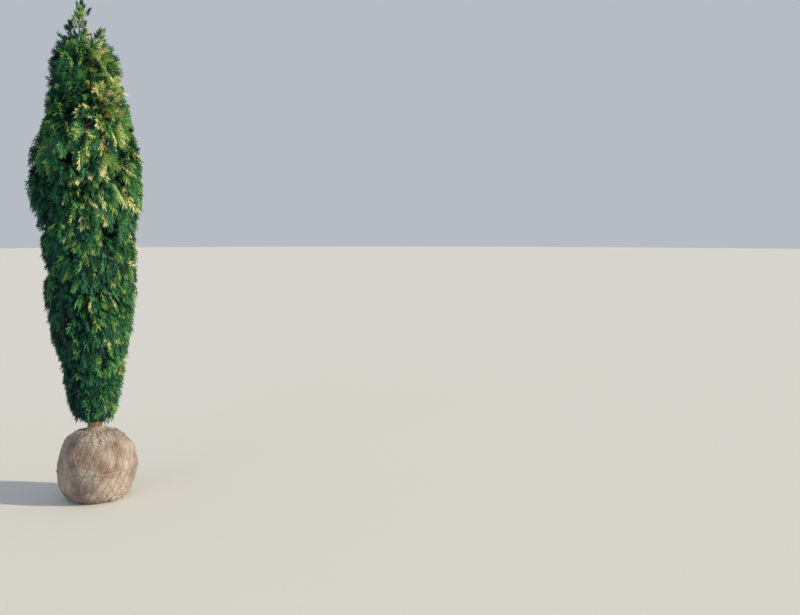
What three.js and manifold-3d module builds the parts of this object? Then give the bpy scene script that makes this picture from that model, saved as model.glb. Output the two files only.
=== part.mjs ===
import * as THREE from 'three';
import { mergeVertices } from 'three/addons/utils/BufferGeometryUtils.js';
import Module from 'manifold-3d';

// A slender garden conifer, lifted with its roots in a ball of soil that sacking and wire hold together.
// Lengths are millimetres, +Z is up, and the origin is the centre of the ball's flat underside.

const CLEARANCE = 0.3;
const SLIVER = 0.1;
const FULL_TURN = 2 * Math.PI;
const GOLDEN_SHARE = 0.618034;

// Root ball: a flat foot, a round belly and a flat crown that carries the trunk
const BALL = { height: 380, belly: 175, radius: 210, footRadius: 125, crownRadius: 62, lump: 0.028 };
const BALL_SIDES = 20;
const BALL_ROWS = 10;
const WIRE_RADIUS = 1.8;
const WIRE_SIDES = 4;
const WIRE_GAP = 0.4;
const WIRE_ROWS = { low: 2, middle: 5, high: 8 };

// Gathered sacking round the foot of the trunk, and the twine that ties it
const COLLAR = {
  height: 54, tieHeight: 26, wall: 6, ease: 1.6, skirtRadius: 58, ruffRadius: 52, folds: 10, foldDepth: 0.07,
};
const TWINE_RADIUS = 2.4;

// Trunk
const TRUNK = {
  foot: BALL.height + CLEARANCE, tip: 2470, baseRadius: 23, tipRadius: 3.2, sway: 9, crossSway: 5.4,
};
const FLARE = { radius: 12, fade: 26, buttresses: 4, buttressDepth: 0.1 };
const TRUNK_SIDES = 12;
const TRUNK_STEPS = 12;

// Crown: how far the foliage reaches from the trunk, by height, and how it swells and dips round the trunk
const CROWN_PROFILE = [
  [440, 96], [560, 138], [770, 176], [950, 222], [1140, 252], [1370, 247], [1620, 288],
  [1790, 322], [1930, 276], [2060, 240], [2230, 219], [2400, 190], [2520, 138], [2620, 92], [2710, 40],
];
const SWELLS = [
  { share: 0.035, lobes: 3, rise: 170 },
  { share: 0.025, lobes: 5, rise: -110 },
];
const CROWN_BOTTOM = 448;
const CROWN_TOP = 2700;

// Tiers of foliage round the trunk, divided by cones that fall outwards and by upright planes
const TIERS = 5;
const SECTORS = 4;
const LOWEST_LEVEL = 520;
const TIER_RISE = 366;
const LEVEL_SLOPE = 0.5;
const LEVEL_WAVE = { height: 46, lobes: 2, turn: 2.1 };
const TIER_TURN = 0.82;
const SECTOR_JITTER = { turn: 0.2, byTier: 5.3, bySector: 2.9 };
const SPACE_MARGIN = 4;
const MASS_SEED = { first: 1009, tier: 211, sector: 37 };

// Each mass has a core at this share of the reach, and its other half sizes are shares of its room
const CORE = { place: 0.55, depth: 0.3, width: 0.95, height: 0.98, roughness: 0.12, squareness: 0.42 };
const SPRAYS_PER_MASS = 12;
const SPRAY_TRIES = 6;
const SPRAY = {
  share: 0.46, least: 66, width: 0.95, narrowing: 0.12, thickness: 3.4, teeth: 0.66, notch: 0.56, waist: 0.42,
  firstSide: 0.35, triesApart: 3, edge: 0.15, fan: 0.5, roll: 1.5, shortest: 0.97,
};
const TWIG = { radius: 4.4, tipRadius: 2.4, hold: 0.12 };
const DROOP = { low: 1.1, high: -0.45, spread: 0.2, liftFrom: 1950, liftPerMetre: 1.6 };

// Boughs rise from the trunk to the masses
const BOUGH = {
  rise: 150, stemDrop: 66, seatInset: 4, reach: 0.62, rootShare: 0.42, tipShare: 0.6, least: 2.4,
  sides: 6, steps: 3,
};

// Loose leaders at the very top
const LEADERS = 3;
const LEADER = {
  spacing: 40, seat: 58, seatHeight: 2356, lean: 26, sprays: 12, width: 0.85, fall: 0.7, wisp: 66,
  slimmest: 0.4, lowest: 0.04, highest: 0.97, sunk: 0.04, roll: 0.8, shortest: 0.85, climb: 1.04,
};
const LEADER_TOPS = [2600, 2650, 2560];
const LEADER_TURN = 2.75;
const LEADER_SEED = { first: 4001, step: 53, tip: 5003 };
const TIP_MASS = { reachShare: 0.8, turns: 2.4, width: 0.6 };

const wasm = await Module();
wasm.setup();

const finish = (color, roughness, metalness = 0) => (
  new THREE.MeshStandardMaterial({ color, roughness, metalness })
);
const SACKING = finish(0x8d7f6c, 0.95);
const TWINE = finish(0xa38d62, 0.9);
const WIRE = finish(0x8f8c86, 0.5, 0.8);
const BARK = finish(0x6a4a36, 0.9);
const GREENS = [0x1f4a2a, 0x2a5a30, 0x356a34, 0x447a38, 0x55883c].map((green) => finish(green, 0.75));
const LEADER_GREEN = finish(0x748c48, 0.75);

// One closed solid from a geometry, with its shared vertices merged
function solidOf(geometry) {
  const bare = geometry.clone();
  bare.deleteAttribute('normal');
  bare.deleteAttribute('uv');
  const merged = mergeVertices(bare, 1e-3);
  const corners = merged.index.array;
  const kept = [];
  for (let i = 0; i < corners.length; i += 3) {
    const [a, b, c] = [corners[i], corners[i + 1], corners[i + 2]];
    if (a !== b && b !== c && c !== a) kept.push(a, b, c);
  }
  const mesh = new wasm.Mesh({
    numProp: 3,
    vertProperties: new Float32Array(merged.attributes.position.array),
    triVerts: new Uint32Array(kept),
  });
  return new wasm.Manifold(mesh);
}

function geometryOf(solid) {
  const mesh = solid.getMesh();
  const geometry = new THREE.BufferGeometry();
  geometry.setAttribute('position', new THREE.BufferAttribute(new Float32Array(mesh.vertProperties), 3));
  geometry.setIndex(new THREE.BufferAttribute(new Uint32Array(mesh.triVerts), 1));
  geometry.computeVertexNormals();
  return geometry;
}

// Repeatable draws between 0 and 1
function seededDraws(seed) {
  let state = seed;
  return () => {
    state = (state * 16807) % 2147483647;
    return state / 2147483647;
  };
}

const between = (low, high, share) => low + (high - low) * share;
const polar = (radius, angle, height) => (
  new THREE.Vector3(radius * Math.cos(angle), radius * Math.sin(angle), height)
);

// Distance from the trunk's line to the crown's outline at a height and a bearing
function crownReach(height, bearing) {
  const last = CROWN_PROFILE.length - 1;
  const clamped = Math.min(Math.max(height, CROWN_PROFILE[0][0]), CROWN_PROFILE[last][0]);
  const above = Math.max(1, CROWN_PROFILE.findIndex(([level]) => level >= clamped));
  const [lowHeight, lowReach] = CROWN_PROFILE[above - 1];
  const [highHeight, highReach] = CROWN_PROFILE[above];
  const reach = between(lowReach, highReach, (clamped - lowHeight) / (highHeight - lowHeight));
  const swell = SWELLS.reduce((sum, { share, lobes, rise }) => (
    sum + share * Math.sin(lobes * bearing + height / rise)
  ), 1);
  return reach * swell;
}

// Height of the surface between two tiers, at its crossing with the trunk's line and at a point
function levelAtAxis(level, bearing) {
  const wave = Math.sin(LEVEL_WAVE.lobes * bearing + LEVEL_WAVE.turn * level);
  return LOWEST_LEVEL + TIER_RISE * level + LEVEL_WAVE.height * wave;
}

function heightAboveLevel(level, point) {
  const radius = Math.hypot(point.x, point.y);
  return point.z + LEVEL_SLOPE * radius - levelAtAxis(level, Math.atan2(point.y, point.x));
}

// Where a level meets the crown's outline
function levelAtOutline(level, bearing) {
  const atAxis = levelAtAxis(level, bearing);
  return atAxis - LEVEL_SLOPE * crownReach(atAxis - LEVEL_SLOPE * crownReach(atAxis, bearing), bearing);
}

function trunkCentre(height) {
  const share = Math.min(Math.max((height - TRUNK.foot) / (TRUNK.tip - TRUNK.foot), 0), 1);
  const swing = Math.sin(Math.PI * share) ** 2;
  const crossSwing = swing * Math.sin(FULL_TURN * share);
  return new THREE.Vector3(TRUNK.sway * swing, -TRUNK.crossSway * crossSwing, height);
}

function trunkRadius(height) {
  const share = Math.min(Math.max((height - TRUNK.foot) / (TRUNK.tip - TRUNK.foot), 0), 1);
  return between(TRUNK.baseRadius, TRUNK.tipRadius, share);
}

// A lathe about +Z from a list of [radius, height] points
function turned(profile, sides) {
  const points = profile.map(([radius, height]) => new THREE.Vector2(radius, height));
  return new THREE.LatheGeometry(points, sides).rotateX(Math.PI / 2);
}

// A straight tapering rod between two points
function rod(from, to, fromRadius, toRadius, sides) {
  const along = new THREE.Vector3().subVectors(to, from);
  const geometry = new THREE.CylinderGeometry(toRadius, fromRadius, along.length(), sides, 1);
  const upright = new THREE.Vector3(0, 1, 0);
  const turn = new THREE.Quaternion().setFromUnitVectors(upright, along.clone().normalize());
  const middle = new THREE.Vector3().addVectors(from, to).multiplyScalar(0.5);
  return geometry.applyQuaternion(turn).translate(middle.x, middle.y, middle.z);
}

// A tapering limb along a curve
function limb(curve, radiusAt, sides, steps) {
  const geometry = new THREE.CylinderGeometry(1, 1, 1, sides, steps);
  const frames = curve.computeFrenetFrames(steps, false);
  const position = geometry.attributes.position;
  for (let i = 0; i < position.count; i += 1) {
    const share = position.getY(i) + 0.5;
    const step = Math.round(share * steps);
    const radius = radiusAt(share);
    const place = curve.getPointAt(share)
      .addScaledVector(frames.normals[step], position.getX(i) * radius)
      .addScaledVector(frames.binormals[step], -position.getZ(i) * radius);
    position.setXYZ(i, place.x, place.y, place.z);
  }
  return geometry;
}

// Root ball

// Radius and height of the ball at a row, from its foot (0) to its crown (BALL_ROWS), at a bearing
function ballSection(row, bearing) {
  const tilt = Math.PI * (row / BALL_ROWS - 0.5);
  const lower = tilt < 0;
  const inner = lower ? BALL.footRadius : BALL.crownRadius;
  const rise = lower ? BALL.belly : BALL.height - BALL.belly;
  const lumps = Math.sin(3 * bearing + 1.2 * tilt) + 0.8 * Math.sin(5 * bearing - 2.3 * tilt + 1);
  const even = inner + (BALL.radius - inner) * Math.cos(tilt);
  const radius = even * (1 + BALL.lump * lumps * Math.cos(tilt) ** 2);
  return { radius, height: BALL.belly + rise * Math.sin(tilt) };
}

function ballGeometry() {
  const rows = Array.from({ length: BALL_ROWS + 1 }, (_, row) => row);
  const profile = [[0, 0], ...rows.map((row) => [1, row]), [0, BALL_ROWS]];
  const geometry = turned(profile, BALL_SIDES);
  const position = geometry.attributes.position;
  for (let i = 0; i < position.count; i += 1) {
    const bearing = Math.atan2(position.getY(i), position.getX(i));
    const onAxis = Math.hypot(position.getX(i), position.getY(i)) < 0.5;
    const section = ballSection(Math.round(position.getZ(i)), bearing);
    const radius = onAxis ? 0 : section.radius;
    position.setXYZ(i, radius * Math.cos(bearing), radius * Math.sin(bearing), section.height);
  }
  return geometry;
}

// A wire round the ball at one of its rows, lying just clear of the sacking
function ballWire(row) {
  const geometry = new THREE.TorusGeometry(1, 0.5, WIRE_SIDES, BALL_SIDES);
  const position = geometry.attributes.position;
  const tilt = Math.PI * (row / BALL_ROWS - 0.5);
  const inner = tilt < 0 ? BALL.footRadius : BALL.crownRadius;
  const rise = tilt < 0 ? BALL.belly : BALL.height - BALL.belly;
  const outward = new THREE.Vector2(rise * Math.cos(tilt), (BALL.radius - inner) * Math.sin(tilt));
  outward.normalize().multiplyScalar(WIRE_RADIUS * Math.max(outward.x, Math.abs(outward.y)) + WIRE_GAP);
  for (let i = 0; i < position.count; i += 1) {
    const bearing = Math.atan2(position.getY(i), position.getX(i));
    const section = ballSection(row, bearing);
    const radial = (Math.hypot(position.getX(i), position.getY(i)) - 1) * 2 * WIRE_RADIUS;
    const radius = section.radius + outward.x + radial;
    const height = section.height + outward.y + position.getZ(i) * 2 * WIRE_RADIUS;
    position.setXYZ(i, radius * Math.cos(bearing), radius * Math.sin(bearing), height);
  }
  return geometry;
}

// Sacking gathered round the trunk's foot: a skirt on the ball, a tied waist and a loose ruff
function collarGeometry() {
  const inside = (height) => flaredRadius(TRUNK.foot + height) / Math.cos(Math.PI / BALL_SIDES) + COLLAR.ease;
  const waist = inside(COLLAR.tieHeight) + COLLAR.wall;
  const profile = [
    [inside(0), CLEARANCE],
    [COLLAR.skirtRadius, CLEARANCE],
    [waist, COLLAR.tieHeight - 2 * TWINE_RADIUS],
    [waist, COLLAR.tieHeight + 2 * TWINE_RADIUS],
    [between(waist, COLLAR.ruffRadius, 0.7), COLLAR.height * 0.78],
    [COLLAR.ruffRadius, COLLAR.height],
    [COLLAR.ruffRadius - COLLAR.wall, COLLAR.height],
    [inside(COLLAR.tieHeight), COLLAR.tieHeight],
    [inside(COLLAR.tieHeight * 0.4), COLLAR.tieHeight * 0.4],
    [inside(0), CLEARANCE],
  ];
  const geometry = turned(profile, BALL_SIDES);
  const position = geometry.attributes.position;
  for (let i = 0; i < position.count; i += 1) {
    const aboveTie = Math.max(position.getZ(i) - COLLAR.tieHeight, 0) / (COLLAR.height - COLLAR.tieHeight);
    const bearing = Math.atan2(position.getY(i), position.getX(i));
    const fold = 1 + COLLAR.foldDepth * aboveTie * Math.cos(COLLAR.folds * bearing);
    position.setXYZ(i, position.getX(i) * fold, position.getY(i) * fold, position.getZ(i));
  }
  return { geometry, waist };
}

// Trunk

// The trunk's greatest radius at a height, with the root flare
function flaredRadius(height) {
  return trunkRadius(height) + FLARE.radius * Math.exp(-(height - TRUNK.foot) / FLARE.fade);
}

function trunkGeometry(extra = 0) {
  const geometry = new THREE.CylinderGeometry(1, 1, 1, TRUNK_SIDES, TRUNK_STEPS);
  const position = geometry.attributes.position;
  for (let i = 0; i < position.count; i += 1) {
    const share = (position.getY(i) + 0.5) ** 2;
    const height = between(TRUNK.foot, TRUNK.tip + extra, share);
    const bearing = Math.atan2(-position.getZ(i), position.getX(i));
    const flare = Math.exp(-(height - TRUNK.foot) / FLARE.fade);
    const buttress = 1 - FLARE.buttressDepth * flare * (1 - Math.cos(FLARE.buttresses * bearing));
    const radius = flaredRadius(height) * buttress + extra;
    const centre = trunkCentre(height);
    position.setXYZ(i, centre.x + position.getX(i) * radius, centre.y - position.getZ(i) * radius, height);
  }
  return geometry;
}

// Foliage

// The room of each mass, and where its core, bough and stem lie
function massPlan(tier, sector) {
  const draw = seededDraws(MASS_SEED.first + MASS_SEED.tier * tier + MASS_SEED.sector * sector);
  const edge = (side) => {
    const shared = (sector + side) % SECTORS;
    const jitter = Math.sin(SECTOR_JITTER.byTier * tier + SECTOR_JITTER.bySector * shared);
    return TIER_TURN * tier + FULL_TURN * (sector + side) / SECTORS + SECTOR_JITTER.turn * jitter;
  };
  const fromBearing = edge(0);
  const toBearing = edge(1);
  const bearing = (fromBearing + toBearing) / 2;
  const low = Math.max(levelAtOutline(tier, bearing), CROWN_BOTTOM);
  const high = levelAtOutline(tier + 1, bearing);
  const reach = crownReach((low + high) / 2, bearing);
  const coreRadius = CORE.place * reach;
  const middleLevel = (levelAtAxis(tier, bearing) + levelAtAxis(tier + 1, bearing)) / 2;
  return {
    name: `foliage_${tier + 1}${'abcd'[sector]}`,
    tier,
    draw,
    fromBearing,
    toBearing,
    bearing,
    reach,
    centre: polar(coreRadius, bearing, middleLevel - LEVEL_SLOPE * coreRadius),
  };
}

// Shortest distance from a point to the edge of the mass's room: negative outside it
function roomAt(plan, point) {
  const fromFirst = Math.sin(-plan.fromBearing) * point.x + Math.cos(plan.fromBearing) * point.y;
  const fromLast = Math.sin(plan.toBearing) * point.x - Math.cos(plan.toBearing) * point.y;
  const aboveBottom = point.z - CROWN_BOTTOM + SPACE_MARGIN;
  const aboveFloor = plan.tier > 0 ? heightAboveLevel(plan.tier, point) : aboveBottom;
  return Math.min(fromFirst, fromLast, aboveFloor, -heightAboveLevel(plan.tier + 1, point));
}

const cornersOf = (geometry) => {
  const position = geometry.attributes.position;
  const corner = (_, i) => new THREE.Vector3().fromBufferAttribute(position, i);
  return Array.from({ length: position.count }, corner);
};

// The toothed outline of a flat spray, from its root at the origin along +Y
function sprayShape(length, width) {
  const half = [[width * 0.5, length * SPRAY.teeth], [width * 0.5 * SPRAY.waist, length * SPRAY.notch]];
  const shape = new THREE.Shape();
  shape.moveTo(0, 0);
  half.forEach(([x, y]) => shape.lineTo(x, y));
  shape.lineTo(0, length);
  half.reverse().forEach(([x, y]) => shape.lineTo(-x, y));
  shape.closePath();
  return shape;
}

// A flat spray with its root at one point and its tip at another, turned about its own line
function sprayGeometry(root, tip, width, roll) {
  const along = new THREE.Vector3().subVectors(tip, root);
  const length = along.length();
  along.normalize();
  const outward = new THREE.Vector3(tip.x, tip.y, 0).normalize();
  const across = new THREE.Vector3().crossVectors(along, outward);
  if (across.lengthSq() < 1e-4) across.set(-outward.y, outward.x, 0);
  across.normalize().applyAxisAngle(along, roll);
  const face = new THREE.Vector3().crossVectors(across, along);
  const blade = { depth: SPRAY.thickness, bevelEnabled: false };
  const geometry = new THREE.ExtrudeGeometry(sprayShape(length, width), blade);
  geometry.translate(0, 0, -SPRAY.thickness / 2);
  return geometry.applyMatrix4(new THREE.Matrix4().makeBasis(across, along, face).setPosition(root));
}

// Joins the pieces of a mass, drops loose scraps, fills what the joining seals and merges slivers
function fused(solids) {
  const joined = solids.reduce((whole, piece) => whole.add(piece));
  const largest = joined.decompose().reduce((best, piece) => (piece.volume() > best.volume() ? piece : best));
  return largest.asOriginal().simplify(SLIVER);
}

// The core: a rough rounded block laid out in the shares of its room, so that it swells and falls with it
function coreSolid(plan, limbs) {
  const ball = new THREE.IcosahedronGeometry(1, 1).deleteAttribute('normal').deleteAttribute('uv');
  const geometry = mergeVertices(ball);
  const position = geometry.attributes.position;
  const squared = (value) => Math.sign(value) * Math.abs(value) ** CORE.squareness;
  const widest = squared(Math.max(...position.array));
  const halfTurn = (plan.toBearing - plan.fromBearing) / 2;
  for (let i = 0; i < position.count; i += 1) {
    const rough = (1 - CORE.roughness * plan.draw()) / widest;
    const [outward, sideways, upward] = [position.getX(i), position.getY(i), position.getZ(i)]
      .map((value) => squared(value) * rough);
    const bearing = plan.bearing + CORE.width * halfTurn * sideways;
    const floor = levelAtAxis(plan.tier, bearing);
    const ceiling = levelAtAxis(plan.tier + 1, bearing);
    const share = (1 + CORE.height * upward) / 2;
    const evenRadius = plan.reach * (CORE.place + CORE.depth * outward);
    const inRoom = between(floor, ceiling, share) - LEVEL_SLOPE * evenRadius;
    const height = Math.max(inRoom, CROWN_BOTTOM + SPACE_MARGIN);
    const radius = evenRadius * crownReach(height, bearing) / plan.reach;
    const place = polar(radius, bearing, height);
    position.setXYZ(i, place.x, place.y, place.z);
  }
  return solidOf(geometry).subtract(limbs);
}

// One twig from the stem's end towards a seeded place on the crown's outline, with a spray at its end
function twigAndSpray(plan, slot, attempt) {
  const room = plan.toBearing - plan.fromBearing;
  const turns = (slot + SPRAY.triesApart * attempt) * GOLDEN_SHARE;
  const side = (SPRAY.firstSide + turns + 0.12 * plan.draw()) % 1;
  const rise = (slot + between(0.15, 0.85, plan.draw())) / SPRAYS_PER_MASS;
  const bearing = plan.fromBearing + room * between(SPRAY.edge, 1 - SPRAY.edge, side);
  const low = Math.max(levelAtOutline(plan.tier, bearing) + 2 * SPACE_MARGIN, CROWN_BOTTOM + SPACE_MARGIN);
  const high = levelAtOutline(plan.tier + 1, bearing) - 2 * SPACE_MARGIN;
  const tipHeight = between(low, high, rise);
  const lift = Math.max(tipHeight - DROOP.liftFrom, 0) / 1000 * DROOP.liftPerMetre;
  const droop = between(DROOP.low, DROOP.high, rise) - lift + DROOP.spread * (plan.draw() - 0.5);
  const reach = crownReach(tipHeight, bearing) * between(SPRAY.shortest, 1, plan.draw());
  const length = SPRAY.share * plan.reach + SPRAY.least * between(0.8, 1.2, plan.draw());
  const tip = polar(reach, bearing, tipHeight);
  const heading = bearing + SPRAY.fan * (bearing - plan.bearing);
  const root = tip.clone().sub(polar(length * Math.cos(droop), heading, -length * Math.sin(droop)));
  const hold = root.clone().lerp(tip, TWIG.hold);
  const roll = SPRAY.roll * (plan.draw() - 0.5);
  const width = SPRAY.width * length * (1 - SPRAY.narrowing * attempt);
  const spray = sprayGeometry(root, tip, width, roll);
  const twig = rod(plan.centre, hold, TWIG.radius, TWIG.tipRadius, 3);
  const fits = [...cornersOf(spray), hold].every((corner) => roomAt(plan, corner) > SPACE_MARGIN);
  return { fits, piece: solidOf(spray).add(solidOf(twig)) };
}

// A mass of a tier: its core, its stem, and twigs with sprays. What would leave its room is skipped.
function tierMass(plan, bough, limbs) {
  const stem = rod(bough.seat, plan.centre, bough.tipRadius, TWIG.radius, 5);
  const solids = [coreSolid(plan, limbs), solidOf(stem)];
  for (let slot = 0; slot < SPRAYS_PER_MASS; slot += 1) {
    for (let attempt = 0; attempt < SPRAY_TRIES; attempt += 1) {
      const { fits, piece } = twigAndSpray(plan, slot, attempt);
      if (fits && piece.intersect(limbs).isEmpty()) {
        solids.push(piece);
        break;
      }
    }
  }
  return fused(solids);
}

// A bough from the trunk's line to the seat of a mass's stem, pointing at the mass
function boughPlan(name, target, bearing, tipRadius, seatRadius, seatHeight) {
  const seat = polar(seatRadius, bearing, seatHeight);
  const heading = new THREE.Vector3().subVectors(target, seat).normalize();
  const tip = seat.clone().addScaledVector(heading, -CLEARANCE);
  const rootHeight = seatHeight - BOUGH.rise;
  const rootRadius = Math.max(BOUGH.rootShare * trunkRadius(rootHeight), tipRadius);
  const bend = tip.clone().addScaledVector(heading, -BOUGH.reach * seatRadius);
  const curve = new THREE.QuadraticBezierCurve3(trunkCentre(rootHeight), bend, tip);
  const shape = (extra) => {
    const radiusAt = (share) => between(rootRadius, tipRadius, share) + extra;
    return limb(curve, radiusAt, BOUGH.sides, BOUGH.steps);
  };
  return { name, seat, tipRadius, root: trunkCentre(rootHeight), shape };
}

function tierBough(plan) {
  const seatRadius = (CORE.place - CORE.depth) * plan.reach + BOUGH.seatInset;
  const seatHeight = plan.centre.z - BOUGH.stemDrop;
  const tipRadius = Math.max(BOUGH.tipShare * BOUGH.rootShare * trunkRadius(seatHeight), BOUGH.least);
  const name = plan.name.replace('foliage', 'bough');
  return boughPlan(name, plan.centre, plan.bearing, tipRadius, seatRadius, seatHeight);
}

// A loose shoot of the top: a stem with sprays all the way up, and no core. The shoot gives its stem's foot
// and top, the height of its highest tip, its reach, its bearings, how wide its sprays are for their length,
// its seed and its room.
function leaderMass({ foot, stemTop, top, reachAt, bearings, width, seed, fits }, limbs) {
  const draw = seededDraws(seed);
  const solids = [solidOf(rod(foot, stemTop, BOUGH.least, TWIG.tipRadius * 0.7, 5))];
  for (let n = 0; n < SPRAY_TRIES * LEADER.sprays && solids.length < LEADER.sprays + 1; n += 1) {
    const rise = ((n % LEADER.sprays) + between(0.2, 0.8, draw())) / LEADER.sprays;
    const side = (0.5 + n * GOLDEN_SHARE + 0.1 * draw()) % 1;
    const root = foot.clone().lerp(stemTop, between(LEADER.lowest, LEADER.highest, rise));
    const bearing = between(bearings[0], bearings[1], side);
    const reach = reachAt(root.z, bearing) * between(LEADER.shortest, 1, draw());
    const tip = polar(reach, bearing, root.z);
    const lowestTip = root.z - LEADER.fall * tip.distanceTo(root);
    tip.setZ(between(lowestTip, top, Math.min(LEADER.climb * rise, 1) ** 2));
    const sunk = root.clone().lerp(tip, -LEADER.sunk);
    const breadth = Math.max(width * tip.distanceTo(root), LEADER.wisp * LEADER.slimmest);
    const spray = sprayGeometry(sunk, tip, breadth, LEADER.roll * (draw() - 0.5));
    const piece = solidOf(spray);
    if (cornersOf(spray).every(fits) && piece.intersect(limbs).isEmpty()) solids.push(piece);
  }
  return fused(solids);
}

// Assembly

const plant = new THREE.Group();

// Adds a piece whose geometry is in the plant's frame, and places it by the point where it is carried
function addPiece(group, name, geometry, material, seat = new THREE.Vector3()) {
  const mesh = new THREE.Mesh(geometry.translate(-seat.x, -seat.y, -seat.z), material);
  mesh.name = name;
  mesh.position.copy(seat);
  group.add(mesh);
}

const ballGroup = new THREE.Group();
addPiece(ballGroup, 'root_ball', ballGeometry(), SACKING);
Object.entries(WIRE_ROWS).forEach(([place, row]) => {
  addPiece(ballGroup, `ball_wire_${place}`, ballWire(row), WIRE);
});
plant.add(ballGroup);

const collarGroup = new THREE.Group();
collarGroup.position.z = BALL.height;
const collar = collarGeometry();
const tieRadius = collar.waist + 2 * CLEARANCE + TWINE_RADIUS;
const tie = new THREE.TorusGeometry(tieRadius, TWINE_RADIUS, WIRE_SIDES + 1, BALL_SIDES);
addPiece(collarGroup, 'sacking_collar', collar.geometry, SACKING);
addPiece(collarGroup, 'collar_twine', tie.translate(0, 0, COLLAR.tieHeight), TWINE);
plant.add(collarGroup);

addPiece(plant, 'trunk', trunkGeometry(), BARK, new THREE.Vector3(0, 0, TRUNK.foot));

const plans = [];
for (let tier = 0; tier < TIERS; tier += 1) {
  for (let sector = 0; sector < SECTORS; sector += 1) plans.push(massPlan(tier, sector));
}
const tierBoughs = plans.map(tierBough);

const leaderBearings = Array.from({ length: LEADERS }, (_, i) => LEADER_TURN + FULL_TURN * i / LEADERS);
const leaderStemTops = leaderBearings.map((bearing, i) => (
  polar(LEADER.seat + LEADER.lean, bearing, LEADER_TOPS[i] - LEADER.wisp)
));
const leaderBoughs = leaderBearings.map((bearing, i) => {
  const name = `leader_bough_${'abc'[i]}`;
  return boughPlan(name, leaderStemTops[i], bearing, BOUGH.least, LEADER.seat, LEADER.seatHeight);
});

const cutters = [...tierBoughs, ...leaderBoughs].map((bough) => solidOf(bough.shape(CLEARANCE)));
const trunkCutter = solidOf(trunkGeometry(2 * CLEARANCE));
const limbs = cutters.reduce((whole, cutter) => whole.add(cutter), trunkCutter);

[...tierBoughs, ...leaderBoughs].forEach((bough) => {
  const cut = fused([solidOf(bough.shape(0)).subtract(trunkCutter)]);
  addPiece(plant, bough.name, geometryOf(cut), BARK, bough.root);
});

plans.forEach((plan, i) => {
  const mass = tierMass(plan, tierBoughs[i], limbs);
  addPiece(plant, plan.name, geometryOf(mass), GREENS[plan.tier], tierBoughs[i].seat);
});

const turnBetween = (one, other) => Math.abs(Math.atan2(Math.sin(one - other), Math.cos(one - other)));

leaderBoughs.forEach((bough, i) => {
  const bearing = leaderBearings[i];
  const spread = Math.PI / LEADERS;
  const fits = (corner) => {
    const radius = Math.hypot(corner.x, corner.y);
    const off = turnBetween(Math.atan2(corner.y, corner.x), bearing);
    const room = Math.min(radius - LEADER.spacing, radius * Math.sin(spread - Math.min(off, spread)));
    return Math.min(room, heightAboveLevel(TIERS, corner)) > SPACE_MARGIN && corner.z < LEADER_TOPS[i] + 2;
  };
  const shoot = {
    foot: bough.seat,
    stemTop: leaderStemTops[i],
    top: LEADER_TOPS[i],
    reachAt: crownReach,
    bearings: [bearing - 0.85 * spread, bearing + 0.85 * spread],
    width: LEADER.width,
    seed: LEADER_SEED.first + LEADER_SEED.step * i,
    fits,
  };
  const mass = leaderMass(shoot, limbs);
  addPiece(plant, `foliage_leader_${'abc'[i]}`, geometryOf(mass), LEADER_GREEN, bough.seat);
});

const tipSeat = trunkCentre(TRUNK.tip).setZ(TRUNK.tip + CLEARANCE);
const tipFits = (corner) => (
  Math.hypot(corner.x, corner.y) < LEADER.spacing - SPACE_MARGIN
  && corner.z > tipSeat.z
  && corner.z < CROWN_TOP + 2
);
const tipShoot = {
  foot: tipSeat,
  stemTop: tipSeat.clone().setZ(CROWN_TOP - LEADER.wisp),
  top: CROWN_TOP,
  reachAt: () => LEADER.spacing * TIP_MASS.reachShare,
  bearings: [0, TIP_MASS.turns * FULL_TURN],
  width: TIP_MASS.width,
  seed: LEADER_SEED.tip,
  fits: tipFits,
};
addPiece(plant, 'foliage_leader_tip', geometryOf(leaderMass(tipShoot, limbs)), LEADER_GREEN, tipSeat);

export default plant;
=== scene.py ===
"""A slender garden conifer on its sacking-wrapped root ball, dressed over its solid model.

Lengths are metres in the solid model's frame: +Z is up, the front faces -Y, and the origin is the centre of
the root ball's flat underside.
"""

from __future__ import annotations

import logging
import math
from collections.abc import Callable, Iterable, Sequence
from dataclasses import dataclass, field
from enum import Enum

import bpy
import numpy as np
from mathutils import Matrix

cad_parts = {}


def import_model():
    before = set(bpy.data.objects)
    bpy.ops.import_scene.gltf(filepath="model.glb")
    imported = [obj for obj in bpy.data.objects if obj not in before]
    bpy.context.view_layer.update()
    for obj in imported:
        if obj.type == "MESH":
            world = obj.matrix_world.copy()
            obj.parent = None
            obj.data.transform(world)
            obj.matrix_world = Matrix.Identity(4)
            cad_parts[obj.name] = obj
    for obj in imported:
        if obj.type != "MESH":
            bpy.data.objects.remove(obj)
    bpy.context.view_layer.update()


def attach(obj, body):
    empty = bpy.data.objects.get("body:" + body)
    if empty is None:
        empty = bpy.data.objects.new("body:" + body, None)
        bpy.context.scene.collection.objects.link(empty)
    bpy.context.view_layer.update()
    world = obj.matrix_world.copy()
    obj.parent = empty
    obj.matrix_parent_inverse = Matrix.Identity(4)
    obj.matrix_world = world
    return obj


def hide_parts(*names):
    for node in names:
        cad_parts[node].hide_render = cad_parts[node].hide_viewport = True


LOG = logging.getLogger("conifer")
FULL_TURN = 2 * math.pi
GOLDEN_SHARE = 0.618034
UP = np.array([0.0, 0.0, 1.0])
# A vector times this one lies level
LEVEL = np.array([1.0, 1.0, 0.0])
# Small numbers that keep a length from being nought
NUDGE = 1e-4
CLOSE = 1e-6
TINY = 1e-9
# The numbers of the source's repeatable draws
DRAW_FACTOR = 16807
DRAW_PRIME = 2147483647

# One number, or an array of them
Values = float | np.ndarray
# Two arrays, mostly corners and triangles
Arrays = tuple[np.ndarray, np.ndarray]
Pair = tuple[float, float]
Triple = tuple[float, float, float]
# Red, green and blue from 0 to 255
Colour = tuple[int, int, int]


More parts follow.
